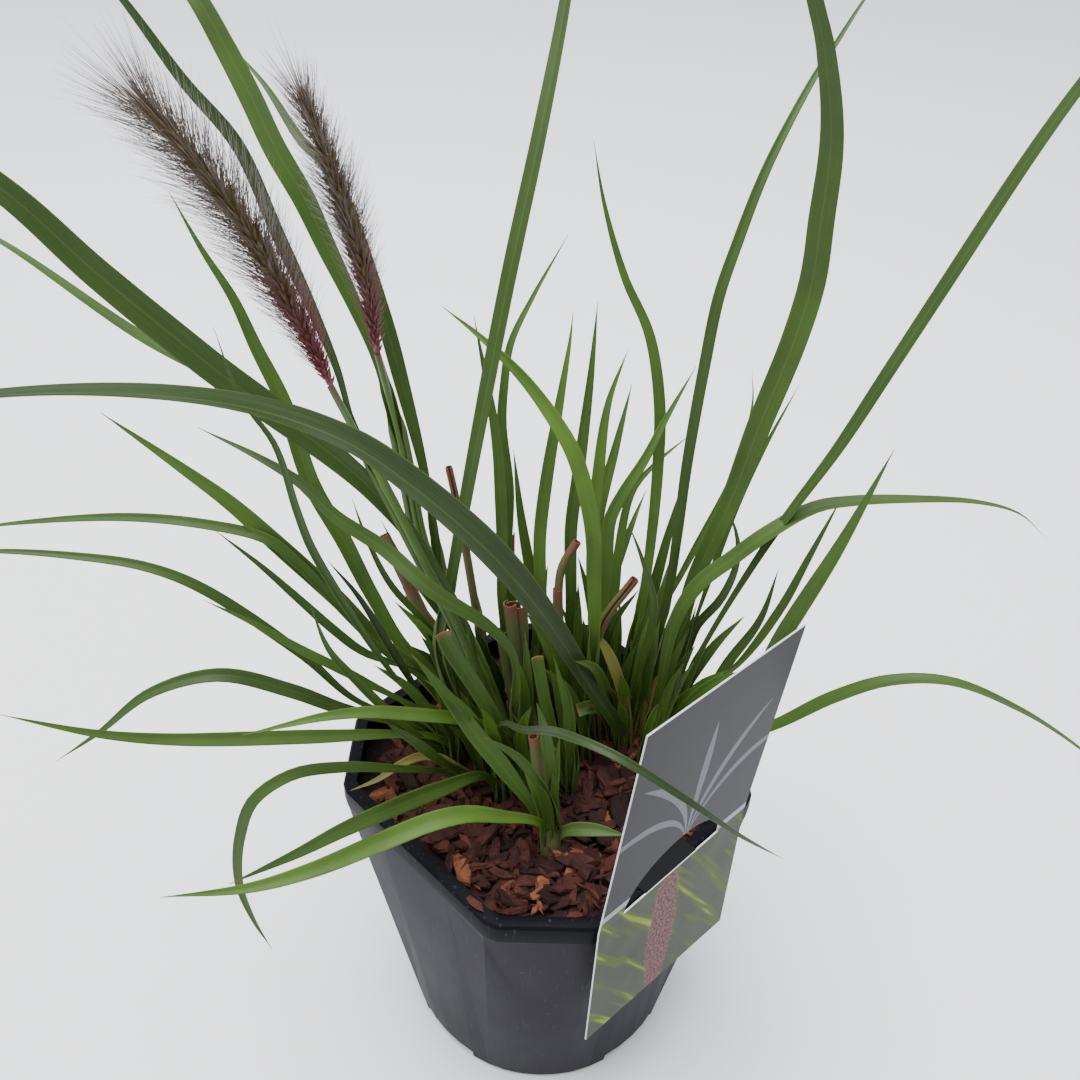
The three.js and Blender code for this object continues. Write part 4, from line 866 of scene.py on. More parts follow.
for label, rows in (("leaves_{}", tillers), ("{}_leaves", culms)):
    for name, row in rows.items():
        strands = [leaf_strand(row["foot"], leaf, index) for index, leaf in enumerate(row["leaves"])]
        strands += [leaf_strand(near, shoot, index)
                    for index, (near, shoot) in enumerate(row.get("shoots", []))]
        row["piece"] = grow(strands_object(label.format(name), strands), strip_tree)
print(len(tillers) + len(culms), "leafy pieces grown")

# %% [markdown]
# ## Stems
#
# A culm is a round green stem, a little browner where it bears the plume, and thicker at its
# nodes. Last year's culms are cut: dry straw tubes with the loose rest of a sheath round them
# and a hollow end. Both follow typed paths, so both are sweeps: the culm of a full circle, the
# cut stems of the same curled strip as the leaves, rolled until its edges meet.

# %% Green culm
culm_finish, tree, shader = new_material("smooth_green_culm", Roughness=0.4, IOR=1.42)
culm_coords = add(tree, COORDS).outputs["Object"]
culm_noise = add(tree, NOISE, {"Vector": culm_coords, "Scale": 180.0, "Detail": 2.0})
feed(tree, shader, {"Base Color": layered(
    tree, "#324716", (culm_noise, 0, 1, 1, "#425a1e"),
    (strand_marks(tree)[2], 0.95, 1.0, 1, "#47331f"))})

tube_tree, given = start_tree("tapered_tube", Sides=10, Finish=culm_finish)
tube_path = add(tube_tree, "GeometryNodeMeshToCurve", {"Mesh": given["Geometry"]})
tube_ring = add(tube_tree, "GeometryNodeCurvePrimitiveCircle", {
    "Resolution": given["Sides"], "Radius": 1.0})
tube_size = add(tube_tree, NAMED, {"Name": "size"}, data_type="FLOAT")
tube_skin = add(tube_tree, "GeometryNodeCurveToMesh", {
    "Curve": tube_path, "Profile Curve": tube_ring, "Scale": tube_size, "Fill Caps": True})
end_tree(tube_tree, tube_skin, given["Finish"])
print("tube tree:", len(tube_tree.nodes), "nodes")

# %% A culm's stem
node_places = (0.28, 0.55, 0.8)
node_swelling = 0.35
node_length = 1.6


def stem_strand(foot, stem):
    typed = rooted_points(foot, stem["heading"], stem["path"])
    total = measured(typed)[1][-1]
    share = np.linspace(0, 1, max(12, int(total / 3)))
    size = stem["radius"] + (stem["end_radius"] - stem["radius"]) * share
    for place in node_places:
        size = size + node_swelling * np.exp(-((share - place) * total / node_length) ** 2)
    return {"centre": at_lengths(typed, share * total) * MM, "size": size * MM, "along": share}


print("stem helper ready, nodes at", node_places)


# %% Join pieces, and dress the culms
def join(name, *objects):
    whole = bmesh.new()
    mesh = bpy.data.meshes.new(name)
    for obj in objects:
        for finish in obj.data.materials:
            if finish.name not in mesh.materials:
                mesh.materials.append(finish)
        start = len(whole.faces)
        whole.from_mesh(obj.data)
        whole.faces.ensure_lookup_table()
        slots = [mesh.materials.find(finish.name) for finish in obj.data.materials]
        for face in whole.faces[start:]:
            face.material_index = slots[face.material_index]
        bpy.data.objects.remove(obj)
    whole.to_mesh(mesh)
    whole.free()
    return linked(bpy.data.objects.new(name, mesh))


for name, row in culms.items():
    stems = [stem_strand(row["foot"], stem) for stem in row["stems"]]
    stem_piece = grow(strands_object(f"{name}_stem", stems), tube_tree)
    dress(join(name + "_leafy", row["piece"], stem_piece), "leaf", name)

# %% Straw of the cut stems
straw_finish, tree, shader = new_material("weathered_grass_straw", Roughness=0.75, IOR=1.45)
straw_uv = add(tree, "ShaderNodeUVMap", uv_map="UVMap")
straw_grid = add(tree, MAPPING, {"Vector": straw_uv, "Scale": (30.0, 3.0, 1.0)})
straw_fibre = add(tree, NOISE, {"Vector": straw_grid, "Scale": 1.0, "Detail": 3.0})
tone, green, along = strand_marks(tree)
straw_colour = layered(
    tree, "#40331c",
    (tone, 0, 1, 1, "#484a20"),
    (straw_fibre, 0, 1, 0.6, "#554722"),
    # a dark foot, what is still green, and a reddish torn end
    (along, 0.35, 0.05, 0.8, "#2a1b10"),
    (green, 0, 1, 1, "#35481a"),
    (along, 0.9, 1.0, 1, "#5a321f"))
straw_bump = add(tree, BUMP, {"Height": straw_fibre, "Strength": 0.5, "Distance": 0.0004})
feed(tree, shader, {"Base Color": straw_colour, "Normal": straw_bump})
print("straw finish:", len(tree.nodes), "nodes")


# %% A rolled strip along a cut stem
def rolled_strand(foot, stem, turn, tone, curl=3.0, widen=0.0, trim=1.0, green=0.0):
    typed = rooted_points(foot, stem["heading"], stem["path"])
    total = measured(typed)[1][-1] * trim
    share = np.linspace(0, 1, max(10, int(total / 3)))
    points = at_lengths(typed, share * total)
    side, top = section_ways(points, turn)
    radius = stem["radius"] + (stem["end_radius"] - stem["radius"]) * share + widen
    return strand_fields(
        share, centre=(points - top * radius[:, None]) * MM, side=side, top=top, curl=curl,
        bow=radius * MM, tone=toned(share, tone, green), reach=share * total * 0.01)


def grow_straw(name, strands):
    return grow(strands_object(name, strands), strip_tree, Finish=straw_finish)


print("rolled strip ready")

# %% Grow the cut stems
for number, (name, row) in enumerate(cut_stems.items()):
    stalk = rolled_strand(row["foot"], row, widen=-0.3, turn=number * 70, tone=0.3 + 0.1 * number)
    sheath = rolled_strand(row["foot"], row, curl=2.2, widen=0.2, trim=0.8, turn=90 + number * 130,
                           tone=0.8, green=0.3)
    dress(grow_straw(name + "_straw", [stalk, sheath]), "dry_stem", name)

stub_foot_radius = 5.6
stub_end_radius = 2.1
for name, row in tillers.items():
    piece = row["piece"]
    if "stems" in row:
        flared = [dict(stem, radius=stub_foot_radius, end_radius=stub_end_radius) for stem in row["stems"]]
        stub = [rolled_strand(row["foot"], stem, turn=200, tone=0.6, green=0.45) for stem in flared]
        piece = join(f"leaves_{name}_cut", piece, grow_straw(f"{name}_stub", stub))
    dress(piece, "leaf", f"tiller_{name}")

# %% Bundle of cut sheaths
bundle_rows = [
    # aside, forward, turn, curl, radius, share of the length, green
    (-4.4, 0.5, 180, 2.0, 2.4, 0.97, 0.5),
    (-1.4, -0.9, 220, 2.0, 2.6, 1.0, 0.65),
    (1.5, 1.4, 360, 1.1, 3.8, 0.98, 1.0),
    (4.2, -0.4, 195, 2.0, 2.4, 0.85, 0.55),
]
bundle = []
for aside, forward, turn, curl, radius, trim, green in bundle_rows:
    spread = dict(cut_sheaths, radius=radius * 0.8, end_radius=radius)
    strand = rolled_strand(cut_sheaths["foot"], spread, curl=curl, trim=trim,
                           turn=turn, tone=0.75, green=green)
    opening = np.linspace(0.25, 1, len(strand["centre"]))[:, None]
    strand["centre"] = strand["centre"] + (strand["side"] * aside + strand["top"] * forward) * opening * MM
    bundle.append(strand)
dress(grow_straw("cut_sheath_bundle", bundle), "dry_stem", "cut_sheaths")

# %% [markdown]
# ## Plumes
#
# A fountain grass plume is a spike of small lance-shaped spikelets, each set in a ring of long
# stiff bristles, so it looks like a bottle brush. The bristles are olive at the axis and purple
# brown further out, with a silver shine at their tips, and crimson low down. Each bristle is a
# thin three-sided taper on its own short bent path, laid out round the axis at the golden angle.

# %% Bristles and spikelets
bristle_finish, tree, shader = new_material("purple_bristle_awns", Roughness=0.5, IOR=1.45)
tone, height, along = strand_marks(tree)
feed(tree, shader, {"Base Color": layered(
    tree, "#41341f",
    (tone, 0, 1, 1, "#6c5e34"),
    (along, 0.2, 0.6, 1, "#42302f"),
    (along, 0.45, 1.0, 1, "#85797c"),
    (height, 0.45, 0.0, 1, "#74203a"))})
spikelet_finish, tree, shader = new_material("papery_spikelet_glumes", Roughness=0.6, IOR=1.45)
tone, height, along = strand_marks(tree)
feed(tree, shader, {"Base Color": layered(
    tree, "#584c2a",
    (tone, 0, 1, 1, "#787038"),
    (height, 0.35, 0.05, 1, "#6a2438"),
    (along, 0, 1, 1, "#5c4a2c"))})
print("plume finishes ready")

# %% Places round a plume's axis
golden_angle = 137.508


def plume_axis(row):
    typed = typed_points(row["foot"], row["heading"], row["path"])
    return typed, measured(typed)[1][-1]


def round_axis(row, share, around):
    typed, total = plume_axis(row)
    points, ahead, behind = (at_lengths(typed, np.clip(share * total + step, 0, total))
                             for step in (0, 1, -1))
    tangent = unit(ahead - behind)
    east = unit(np.array([1.0, 0, 0]) - tangent * tangent[:, :1])
    north = np.cross(tangent, east)
    radial = east * np.cos(around)[:, None] + north * np.sin(around)[:, None]
    return points, tangent, radial


def hair(centre, along, size, tone, height):
    return {"centre": centre * MM, "along": along, "size": size * MM, "tone": toned(along, tone, height)}


for name, row in plumes.items():
    print(name, "is", round(float(plume_axis(row)[1]), 1), "mm long")

# %% Bristles of a plume
bristle_count = 2100
bristle_points = 5
bristle_thickness = 0.13
bristle_leans = (28, 36, 42, 24)
lean_spread = 7
longest_bristle = 0.27
bristle_bend = 0.22


def bristle_strands(row, draw):
    share = np.linspace(0.02, 1.0, bristle_count)
    around = np.radians(np.arange(bristle_count) * golden_angle) + draw.normal(0, 0.3, bristle_count)
    points, tangent, radial = round_axis(row, share, around)
    total = plume_axis(row)[1]
    spread = np.interp(share, np.linspace(0, 1, len(row["spread"])), row["spread"])
    lean = np.interp(share, [0, 0.3, 0.7, 1], bristle_leans) + draw.normal(0, lean_spread, bristle_count)
    lean = np.radians(lean)
    reach = np.minimum(spread / 2 / np.sin(lean), total * longest_bristle)
    reach = reach * draw.uniform(0.55, 1.12, bristle_count)
    t = np.linspace(0, 1, bristle_points)
    for i in range(bristle_count):
        bend = draw.uniform(0.0, bristle_bend)
        bent = (lean[i] * (1.15 - 2 * bend * t))[:, None]
        ways = tangent[i] * np.cos(bent) + radial[i] * np.sin(bent)
        steps = np.vstack([np.zeros(3), np.cumsum(ways[1:] * reach[i] / (bristle_points - 1), axis=0)])
        yield hair(points[i] + steps, t, bristle_thickness * (1 - 0.8 * t), draw.uniform(), share[i])


print("bristles on a plume:", bristle_count)

# %% Spikelets and rachis of a plume
spikelet_count = 230
spikelet_outline = np.array([[0, 0.25, 0.6, 1.0], [0.25, 0.85, 0.6, 0.05]])
rachis_points = 24


def spikelet_strands(row, draw):
    share = np.linspace(0.0, 0.97, spikelet_count)
    around = np.radians(np.arange(spikelet_count) * golden_angle)
    points, tangent, radial = round_axis(row, share, around)
    t, thickness = spikelet_outline
    for i in range(spikelet_count):
        size = 1 - 0.45 * abs(share[i] - 0.45) / 0.55
        lean = math.radians(draw.uniform(24, 40))
        way = tangent[i] * math.cos(lean) + radial[i] * math.sin(lean)
        length = draw.uniform(5.5, 7.5) * size
        start = points[i] + radial[i] * size
        yield hair(start + way * (t * length)[:, None], t, thickness * size, draw.uniform(), share[i])


def rachis_strand(row):
    typed, total = plume_axis(row)
    share = np.linspace(0, 1, rachis_points)
    rachis = hair(at_lengths(typed, share * total), share, 1.3 - 0.9 * share, 0.5, 0)
    rachis["tone"][:, 1] = share
    return rachis


print("spikelets on a plume:", spikelet_count)

# %% Grow the plumes
for number, (name, row) in enumerate(plumes.items()):
    draw = np.random.default_rng(40 + number)
    coat = grow(strands_object(name + "_coat", list(bristle_strands(row, draw))),
                tube_tree, Sides=3, Finish=bristle_finish)
    core = grow(strands_object(name + "_core", [rachis_strand(row), *spikelet_strands(row, draw)]),
                tube_tree, Sides=5, Finish=spikelet_finish)
    dress(join(name + "_brush", coat, core), "plume", name)

# %% [markdown]
# ## Bark mulch
#
# Potted grasses are topped with chipped pine bark: flat splinters 5 to 24 mm long, torn along
# the grain, red-brown outside and orange where they are freshly broken. A bed fills the pot
# below the lip, and Geometry Nodes scatters chips of nine kinds over it with a fixed seed.

# %% Pine bark
bark_finish, tree, shader = new_material(
    "chipped_pine_bark", Roughness=0.82, IOR=1.45, Specular_IOR_Level=0.2)
bark_coords = add(tree, COORDS).outputs["Object"]
bark_shade = add(tree, ATTRIBUTE, attribute_name="shade").outputs["Fac"]
bark_noise = add(tree, NOISE, {"Vector": bark_coords, "Scale": 260.0, "Detail": 5.0, "Roughness": 0.65})
bark_patch = add(tree, NOISE, {"Vector": bark_coords, "Scale": 90.0, "Detail": 2.0})
bark_colour = layered(
    tree, "#160b0a",
    (bark_shade, 0, 1, 1, "#43221b"),
    # the freshly broken chips, the dark grain and paler patches
    (bark_shade, 0.9, 1.0, 0.75, "#845034"),
    (bark_noise, 0.55, 0.35, 0.65, "#120807"),
    (bark_patch, 0.55, 0.75, 0.5, "#5a3024"))
bark_bump = add(tree, BUMP, {"Height": bark_noise, "Strength": 0.8, "Distance": 0.0008})
feed(tree, shader, {"Base Color": bark_colour, "Normal": bark_bump})
print("bark finish:", len(tree.nodes), "nodes")

# %% The rim's outline, and a bed inside it
long_flat = 75.0
short_flat = 85.2
foot_radius = 62.0
lip_bottom = 144.0
bed_low = 132.05
bed_high = 138.5
bed_unevenness = 1.6
ring_sides = 72


def rim_distance(angle):
    """Distance from the middle to the rim's outline, for angles in degrees."""
    flats = np.array([short_flat, long_flat] * 4)[:, None]
    along = np.cos(np.radians(np.atleast_1d(angle)[None] - 45 * np.arange(8)[:, None]))
    return np.where(along > 0.2, flats / np.maximum(along, 0.2), np.inf).min(axis=0)


def ring_points(distance, height):
    angle = np.linspace(0, 360, ring_sides, endpoint=False)
    reach = distance(angle)
    x, y = reach * np.cos(np.radians(angle)), reach * np.sin(np.radians(angle))
    return np.stack([x, y, np.broadcast_to(height, x.shape)], axis=1)


def wall_distance(height, inset):
    share = height / lip_bottom
    return lambda angle: foot_radius + (rim_distance(angle) - foot_radius) * share - inset


def lofted(name, rings):
    count = len(rings[0])
    rows = [[r * count + i for i in range(count)] for r in range(len(rings))]
    faces = [(low[i], low[(i + 1) % count], high[(i + 1) % count], high[i])
             for low, high in zip(rows, rows[1:]) for i in range(count)]
    faces += [tuple(reversed(rows[0])), tuple(rows[-1])]
    mesh = bpy.data.meshes.new(name)
    mesh.from_pydata((np.vstack(rings) * MM).tolist(), [], faces)
    return linked(bpy.data.objects.new(name, mesh))


bed_draw = np.random.default_rng(8)
bed_rings = [ring_points(wall_distance(bed_low, inset), bed_low) for inset in (6, 2.1)]
bed_rings.append(ring_points(wall_distance(bed_high, 2.4), bed_high))
for inset in range(8, 74, 6):
    rise = bed_high + bed_draw.uniform(-bed_unevenness, bed_unevenness, ring_sides)
    bed_rings.append(ring_points(
        lambda angle: np.maximum(wall_distance(bed_high, inset)(angle), 1.5), rise))
bark_bed = lofted("bark_bed", bed_rings)
print("bed:", triangles(bark_bed.data), "triangles")

# %% Chips of nine kinds
chip_kinds = 9
chip_seed = 100
chip_corners = 6


def chip_mesh(kind):
    draw = np.random.default_rng(chip_seed + kind)
    angle = np.radians(np.arange(chip_corners) * 60 + draw.uniform(-16, 16, chip_corners))
    reach = draw.uniform(0.6, 1.0, chip_corners) * 0.5
    wide = draw.uniform(0.15, 0.5)
    outline = np.stack([reach * np.cos(angle), reach * np.sin(angle) * wide], axis=1)
    thick = draw.uniform(0.04, 0.08)
    rings = []
    for rise, draw_in in ((-0.5, 0.86), (-0.2, 1.0), (0.25, 0.97), (0.5, 0.8)):
        wobble = draw.uniform(-0.025, 0.025, (chip_corners, 3))
        row = np.column_stack([outline * draw_in, np.full(chip_corners, rise * thick * 2)])
        rings.append((row + wobble * [1, 1, 0.8]) / MM)
    chip = lofted(f"chip_kind_{kind}", rings)
    bmesh_chip = bmesh.new()
    bmesh_chip.from_mesh(chip.data)
    bmesh.ops.triangulate(bmesh_chip, faces=bmesh_chip.faces)
    bmesh.ops.recalc_face_normals(bmesh_chip, faces=bmesh_chip.faces)
    bmesh_chip.to_mesh(chip.data)
    bmesh_chip.free()
    return chip


chips = bpy.data.collections.new("chip_kinds")
for kind in range(chip_kinds):
    chip = chip_mesh(kind)
    bpy.context.scene.collection.objects.unlink(chip)
    chips.objects.link(chip)
print("chip kinds:", chip_kinds, "of", triangles(chips.objects[0].data), "triangles each")

# %% Tree of the chips: their places and sizes
RANDOM = "FunctionNodeRandomValue"
chip_density = 90000.0
chip_tree, given = start_tree(
    "scattered_chips", Count=1250, Seed=5, Shortest=0.005, Longest=0.024, Lean=0.5, Finish=bark_finish)
tree = chip_tree
top_only = add(tree, NAMED, {"Name": "top"}, data_type="FLOAT")
points = add(tree, "GeometryNodeDistributePointsOnFaces", {
    "Mesh": given["Geometry"], "Selection": top_only, "Density": chip_density, "Seed": given["Seed"]})
number = add(tree, "GeometryNodeInputIndex")
too_many = add(tree, "FunctionNodeCompare", {2: number, 3: given["Count"]}, data_type="INT",
               operation="GREATER_EQUAL")
kept = add(tree, "GeometryNodeDeleteGeometry", {"Geometry": points, "Selection": too_many}, domain="POINT")
size_draw, shade_draw, rise_draw = (
    add(tree, RANDOM, {2: low, 3: high, "Seed": seed}, data_type="FLOAT")
    for seed, low, high in ((13, 0.0, 1.0), (14, 0.05, 1.0), (15, -0.0005, 0.0045)))
# the power makes small chips more frequent than large ones
share = add(tree, MATH, {0: size_draw, 1: 1.5}, operation="POWER")
size = add(tree, RANGE, {"Value": share, "To Min": given["Shortest"], "To Max": given["Longest"]})
print("chip places:", len(tree.nodes), "nodes")

# %% Tree of the chips: one chip on each place
kinds = add(tree, "GeometryNodeCollectionInfo", {
    "Collection": chips, "Separate Children": True, "Reset Children": True})
pick = add(tree, RANDOM, {4: 0, 5: chip_kinds - 1, "Seed": 11}, data_type="INT")
lean_back = add(tree, MATH, {0: given["Lean"], 1: -1.0}, operation="MULTIPLY")
turn_low, turn_high = (add(tree, COMBINE, {"X": lean, "Y": lean, "Z": turn})
                       for lean, turn in ((lean_back, -math.pi), (given["Lean"], math.pi)))
turn = add(tree, RANDOM, {0: turn_low, 1: turn_high, "Seed": 12}, data_type="FLOAT_VECTOR")
placed = add(tree, "GeometryNodeInstanceOnPoints", {
    "Points": kept, "Instance": kinds, "Pick Instance": True, "Instance Index": pick,
    "Rotation": turn, "Scale": size})
shaded = add(tree, STORE, {
    "Geometry": placed, "Name": "shade", "Value": shade_draw}, data_type="FLOAT", domain="INSTANCE")
raised = add(tree, "GeometryNodeTranslateInstances", {
    "Instances": shaded, "Translation": add(tree, COMBINE, {"Z": rise_draw}), "Local Space": False})
whole = add(tree, "GeometryNodeJoinGeometry", {"Geometry": given["Geometry"]})
feed(tree, whole, {"Geometry": raised})
real = add(tree, "GeometryNodeRealizeInstances", {"Geometry": whole})
dressed = add(tree, "GeometryNodeSetMaterial", {"Geometry": real, "Material": given["Finish"]})
add(tree, "NodeGroupOutput", {"Geometry": dressed})
print("chip tree:", len(tree.nodes), "nodes")

# %% Scatter the chips clear of the lip
chip_margin = 13
centres = np.array([np.mean([bark_bed.data.vertices[v].co[:] for v in face.vertices], axis=0)
                    for face in bark_bed.data.polygons]) / MM
around = np.degrees(np.arctan2(centres[:, 1], centres[:, 0]))
clear_of_lip = np.hypot(centres[:, 0], centres[:, 1]) < wall_distance(bed_high, chip_margin)(around)
top_faces = bark_bed.data.attributes.new("top", "FLOAT", "FACE")
top_faces.data.foreach_set("value", ((centres[:, 2] > bed_high - 2) & clear_of_lip).astype(np.float32))
mulch = grow(bark_bed, chip_tree)
mulch.name = "chipped_bark"
for chip in list(chips.objects):
    bpy.data.objects.remove(chip)
dress(mulch, "bark", "bark_mulch")

# %% [markdown]
# ## Nursery pot
#
# The pot is injection-moulded from recycled polypropylene: a thin wall, a raised band as its
# lip, and flat facets under the four cut corners. The moulded surface is satin, so its
# roughness is about 0.5, and handling leaves fine scratches and a little dust. The solid has
# the right shape already, so a copy is merged and its edges get the small moulded radius.

# %% Pot plastic
pot_finish, tree, shader = new_material("moulded_polypropylene", IOR=1.46, Specular_IOR_Level=0.06)
pot_coords = add(tree, COORDS).outputs["Object"]
pot_height = add(tree, SPLIT, {"Vector": pot_coords}).outputs["Z"]
pot_grain = add(tree, NOISE, {"Vector": pot_coords, "Scale": 900.0, "Detail": 2.0})
pot_cloud = add(tree, NOISE, {"Vector": pot_coords, "Scale": 24.0, "Detail": 4.0})
scratch_space = add(tree, MAPPING, {"Vector": pot_coords, "Scale": (1.0, 1.0, 0.06)})
pot_scratch = add(tree, NOISE, {"Vector": scratch_space, "Scale": 700.0, "Detail": 1.0})
dust = add(tree, "ShaderNodeTexVoronoi", {"Vector": pot_coords, "Scale": 160.0})
pot_colour = layered(
    tree, "#17151c",
    (pot_cloud, 0, 1, 1, "#1a181f"),
    # the lip painted darker as shade, then scratches and dust
    (pot_height, 0.1435, 0.1445, 1, "#08080e"),
    (pot_scratch, 0.66, 0.74, 0.3, "#38383d"),
    (dust.outputs["Distance"], 0.11, 0.05, 0.35, "#4a4744"))
pot_rough = add(tree, RANGE, {
    "Value": pot_cloud, "From Min": 0.3, "From Max": 0.7, "To Min": 0.46, "To Max": 0.52})
pot_bump = add(tree, BUMP, {"Height": pot_grain, "Strength": 0.15, "Distance": 0.0002})
feed(tree, shader, {"Base Color": pot_colour, "Roughness": pot_rough, "Normal": pot_bump})
print("pot finish:", len(tree.nodes), "nodes")

# %% The pot with moulded edges
moulded_radius = 0.6
rounded_from = 28
sharp_from = 24


def merged_copy(node_name, new_name):
    copy = bmesh.new()
    copy.from_mesh(nodes[node_name].data)
    bmesh.ops.remove_doubles(copy, verts=copy.verts, dist=1e-6)
    bmesh.ops.dissolve_limit(copy, angle_limit=math.radians(0.6), verts=copy.verts, edges=copy.edges)
    mesh = bpy.data.meshes.new(new_name)
    copy.to_mesh(mesh)
    copy.free()
    return linked(bpy.data.objects.new(new_name, mesh))


pot = merged_copy("pot", "nursery_pot")
rounded = pot.modifiers.new("moulded_radius", "BEVEL")
rounded.width = moulded_radius * MM
rounded.segments = 2
rounded.limit_method = "ANGLE"
rounded.angle_limit = math.radians(rounded_from)
pot_mesh = bpy.data.meshes.new_from_object(pot.evaluated_get(bpy.context.evaluated_depsgraph_get()))
pot.modifiers.clear()
pot.data = pot_mesh
pot.data.materials.append(pot_finish)
pot.data.polygons.foreach_set("use_smooth", [True] * len(pot.data.polygons))
pot.data.set_sharp_from_angle(angle=math.radians(sharp_from))
dress(pot, "pot_plastic", "pot")

# %% [markdown]
# Potting soil fills the pot under the bark. Its solid stays, and gets the finish of peat: nearly
# black, matt and crumbly.

# %% Potting soil
soil_finish, tree, shader = new_material("peat_potting_soil", Roughness=0.95)
soil_coords = add(tree, COORDS).outputs["Object"]
crumb = add(tree, NOISE, {"Vector": soil_coords, "Scale": 500.0, "Detail": 5.0})
soil_bump = add(tree, BUMP, {"Height": crumb, "Strength": 1.0, "Distance": 0.001})
feed(tree, shader, {
    "Base Color": layered(tree, "#17100c", (crumb, 0, 1, 1, "#3a281d")), "Normal": soil_bump})
nodes["root_ball"].data.materials.clear()
nodes["root_ball"].data.materials.append(soil_finish)
print("soil finish:", len(tree.nodes), "nodes")

# %% [markdown]
# ## Picture card
#
# A plant card is printed on a thin sheet of white polypropylene and hung over the rim by a
# tongue cut from a half-moon slot. Its solid has the right shape, so a copy of it is used. Every
# front face gets its place on the card, in units of 100 mm, as its UV. The print is drawn from
# that: a grey field with a fan of pale arching blades, a pale rule, and a soft picture of
# leaves and a pink plume below. It is a plain design of this lesson's own.

# %% Place on the card
card_middle = 48
card_fold = 69
card_tilt = math.radians(-3.8)
card_turn = math.radians(-45)
card_distance = 75.8
card_leans = (math.radians(-1.4), math.radians(3.5))
card_unit = 100
front_facing = 0.8
tongue_behind = 1.5


def card_axes(lean):
    facing = np.array([math.cos(card_turn), math.sin(card_turn), 0.0])
    along_card = np.array([-facing[1], facing[0], 0.0])
    up = facing * math.sin(lean) + np.array([0, 0, math.cos(lean)])
    return along_card, up, np.cross(along_card, up)


def card_place(point):
    """Millimetres from the card's lower left corner, for a point in metres."""
    start = card_axes(0)[2] * card_distance + np.array([0, 0, rim_height + 1])
    local = np.array(point) / MM - start
    along_card, up, _ = card_axes(card_leans[1] if local[2] > 0 else card_leans[0])
    x, y = local @ along_card, local @ up
    across = x * math.cos(card_tilt) + y * math.sin(card_tilt)
    height = y * math.cos(card_tilt) - x * math.sin(card_tilt)
    return across + card_middle, height + card_fold


card = merged_copy("picture_card", "plant_card")
card_uv = card.data.uv_layers.new(name="UVMap")
card_front = card.data.attributes.new("front", "FLOAT", "FACE")
for face in card.data.polygons:
    middle = np.array(face.center) / MM @ card_axes(0)[2]
    printed = Vector(card_axes(0)[2]).dot(face.normal) > front_facing
    # faces behind the front, on the tongue, get 0.5, which the finish paints near-black as shade
    card_front.data[face.index].value = 0.5 if middle < card_distance - tongue_behind else float(printed)
    for loop in face.loop_indices:
        spot = card_place(card.data.vertices[card.data.loops[loop].vertex_index].co)
        card_uv.data[loop].uv = (spot[0] / card_unit, spot[1] / card_unit)
print("card corners:", [tuple(round(v) for v in card_place(v.co)) for v in list(card.data.vertices)[:4]])

# %% Printed sheet: the upper field and its fan of pale blades
fan_foot = (0.43, 0.86)
fan_reach = 0.66
fan_blades = 3.5
fan_side = 1.35
card_finish, tree, shader = new_material(
    "printed_polypropylene_sheet", Roughness=0.45, IOR=1.49, Specular_IOR_Level=0.1)
sheet = add(tree, "ShaderNodeUVMap", uv_map="UVMap")
sheet_spot = add(tree, SPLIT, {"Vector": sheet}).outputs
known = {"sheet_x": sheet_spot["X"], "sheet_y": sheet_spot["Y"]}
for name, operation, *terms in (
    ("x", "SUBTRACT", "sheet_x", fan_foot[0]),
    ("x", "ABSOLUTE", "x"),
    ("y", "SUBTRACT", "sheet_y", fan_foot[1]),
    ("angle", "ARCTAN2", "x", "y"),
    # how far from the fan's foot
    ("far", "MULTIPLY", "x", "x"),
    ("far", "MULTIPLY_ADD", "y", "y", "far"),
    ("far", "SQRT", "far"),
    ("far", "DIVIDE", "far", fan_reach),
    # the blades bend outward as they go
    ("bend", "MULTIPLY_ADD", "far", 0.85, 0.18),
    ("row", "DIVIDE", "angle", "bend"),
    ("wave", "MULTIPLY", "row", fan_blades),
    ("wave", "PINGPONG", "wave", 1.0),
):
    terms = {place: known.get(term, term) for place, term in enumerate(terms)}
    known[name] = add(tree, MATH, terms, operation=operation)
blade_half = add(tree, RANGE, {
    "Value": known["far"], "From Min": 0.1, "From Max": 1.0, "To Min": 0.62, "To Max": 0.0})
in_blade = add(tree, MATH, {0: known["wave"], 1: blade_half}, operation="LESS_THAN")
in_fan = add(tree, MATH, {0: known["row"], 1: fan_side}, operation="LESS_THAN")
fan = add(tree, MATH, {0: in_blade, 1: in_fan}, operation="MULTIPLY")
cloud = add(tree, NOISE, {"Vector": sheet, "Scale": 3.0, "Detail": 2.0})
field = layered(tree, "#1b1c1f", (cloud, 0, 1, 1, "#202124"), (fan, 0, 1, 1, "#5c5e65"))
print("upper field:", len(tree.nodes), "nodes")

# %% Printed sheet: the picture of leaves and a plume
leaf_slant = math.radians(-38)
plume_place = (-0.4, -0.36, 0)
plume_slant = math.radians(26)
plume_slimness = (12.5, 2.6, 1.0)
slanted = add(tree, MAPPING, {"Vector": sheet, "Rotation": (0, 0, leaf_slant)})
long_streaks = add(tree, MAPPING, {"Vector": slanted, "Scale": (16.0, 1.2, 1.0)})
streaks = add(tree, NOISE, {"Vector": long_streaks, "Scale": 1.0, "Detail": 2.0})
blur = add(tree, NOISE, {"Vector": sheet, "Scale": 5.0, "Detail": 2.0})
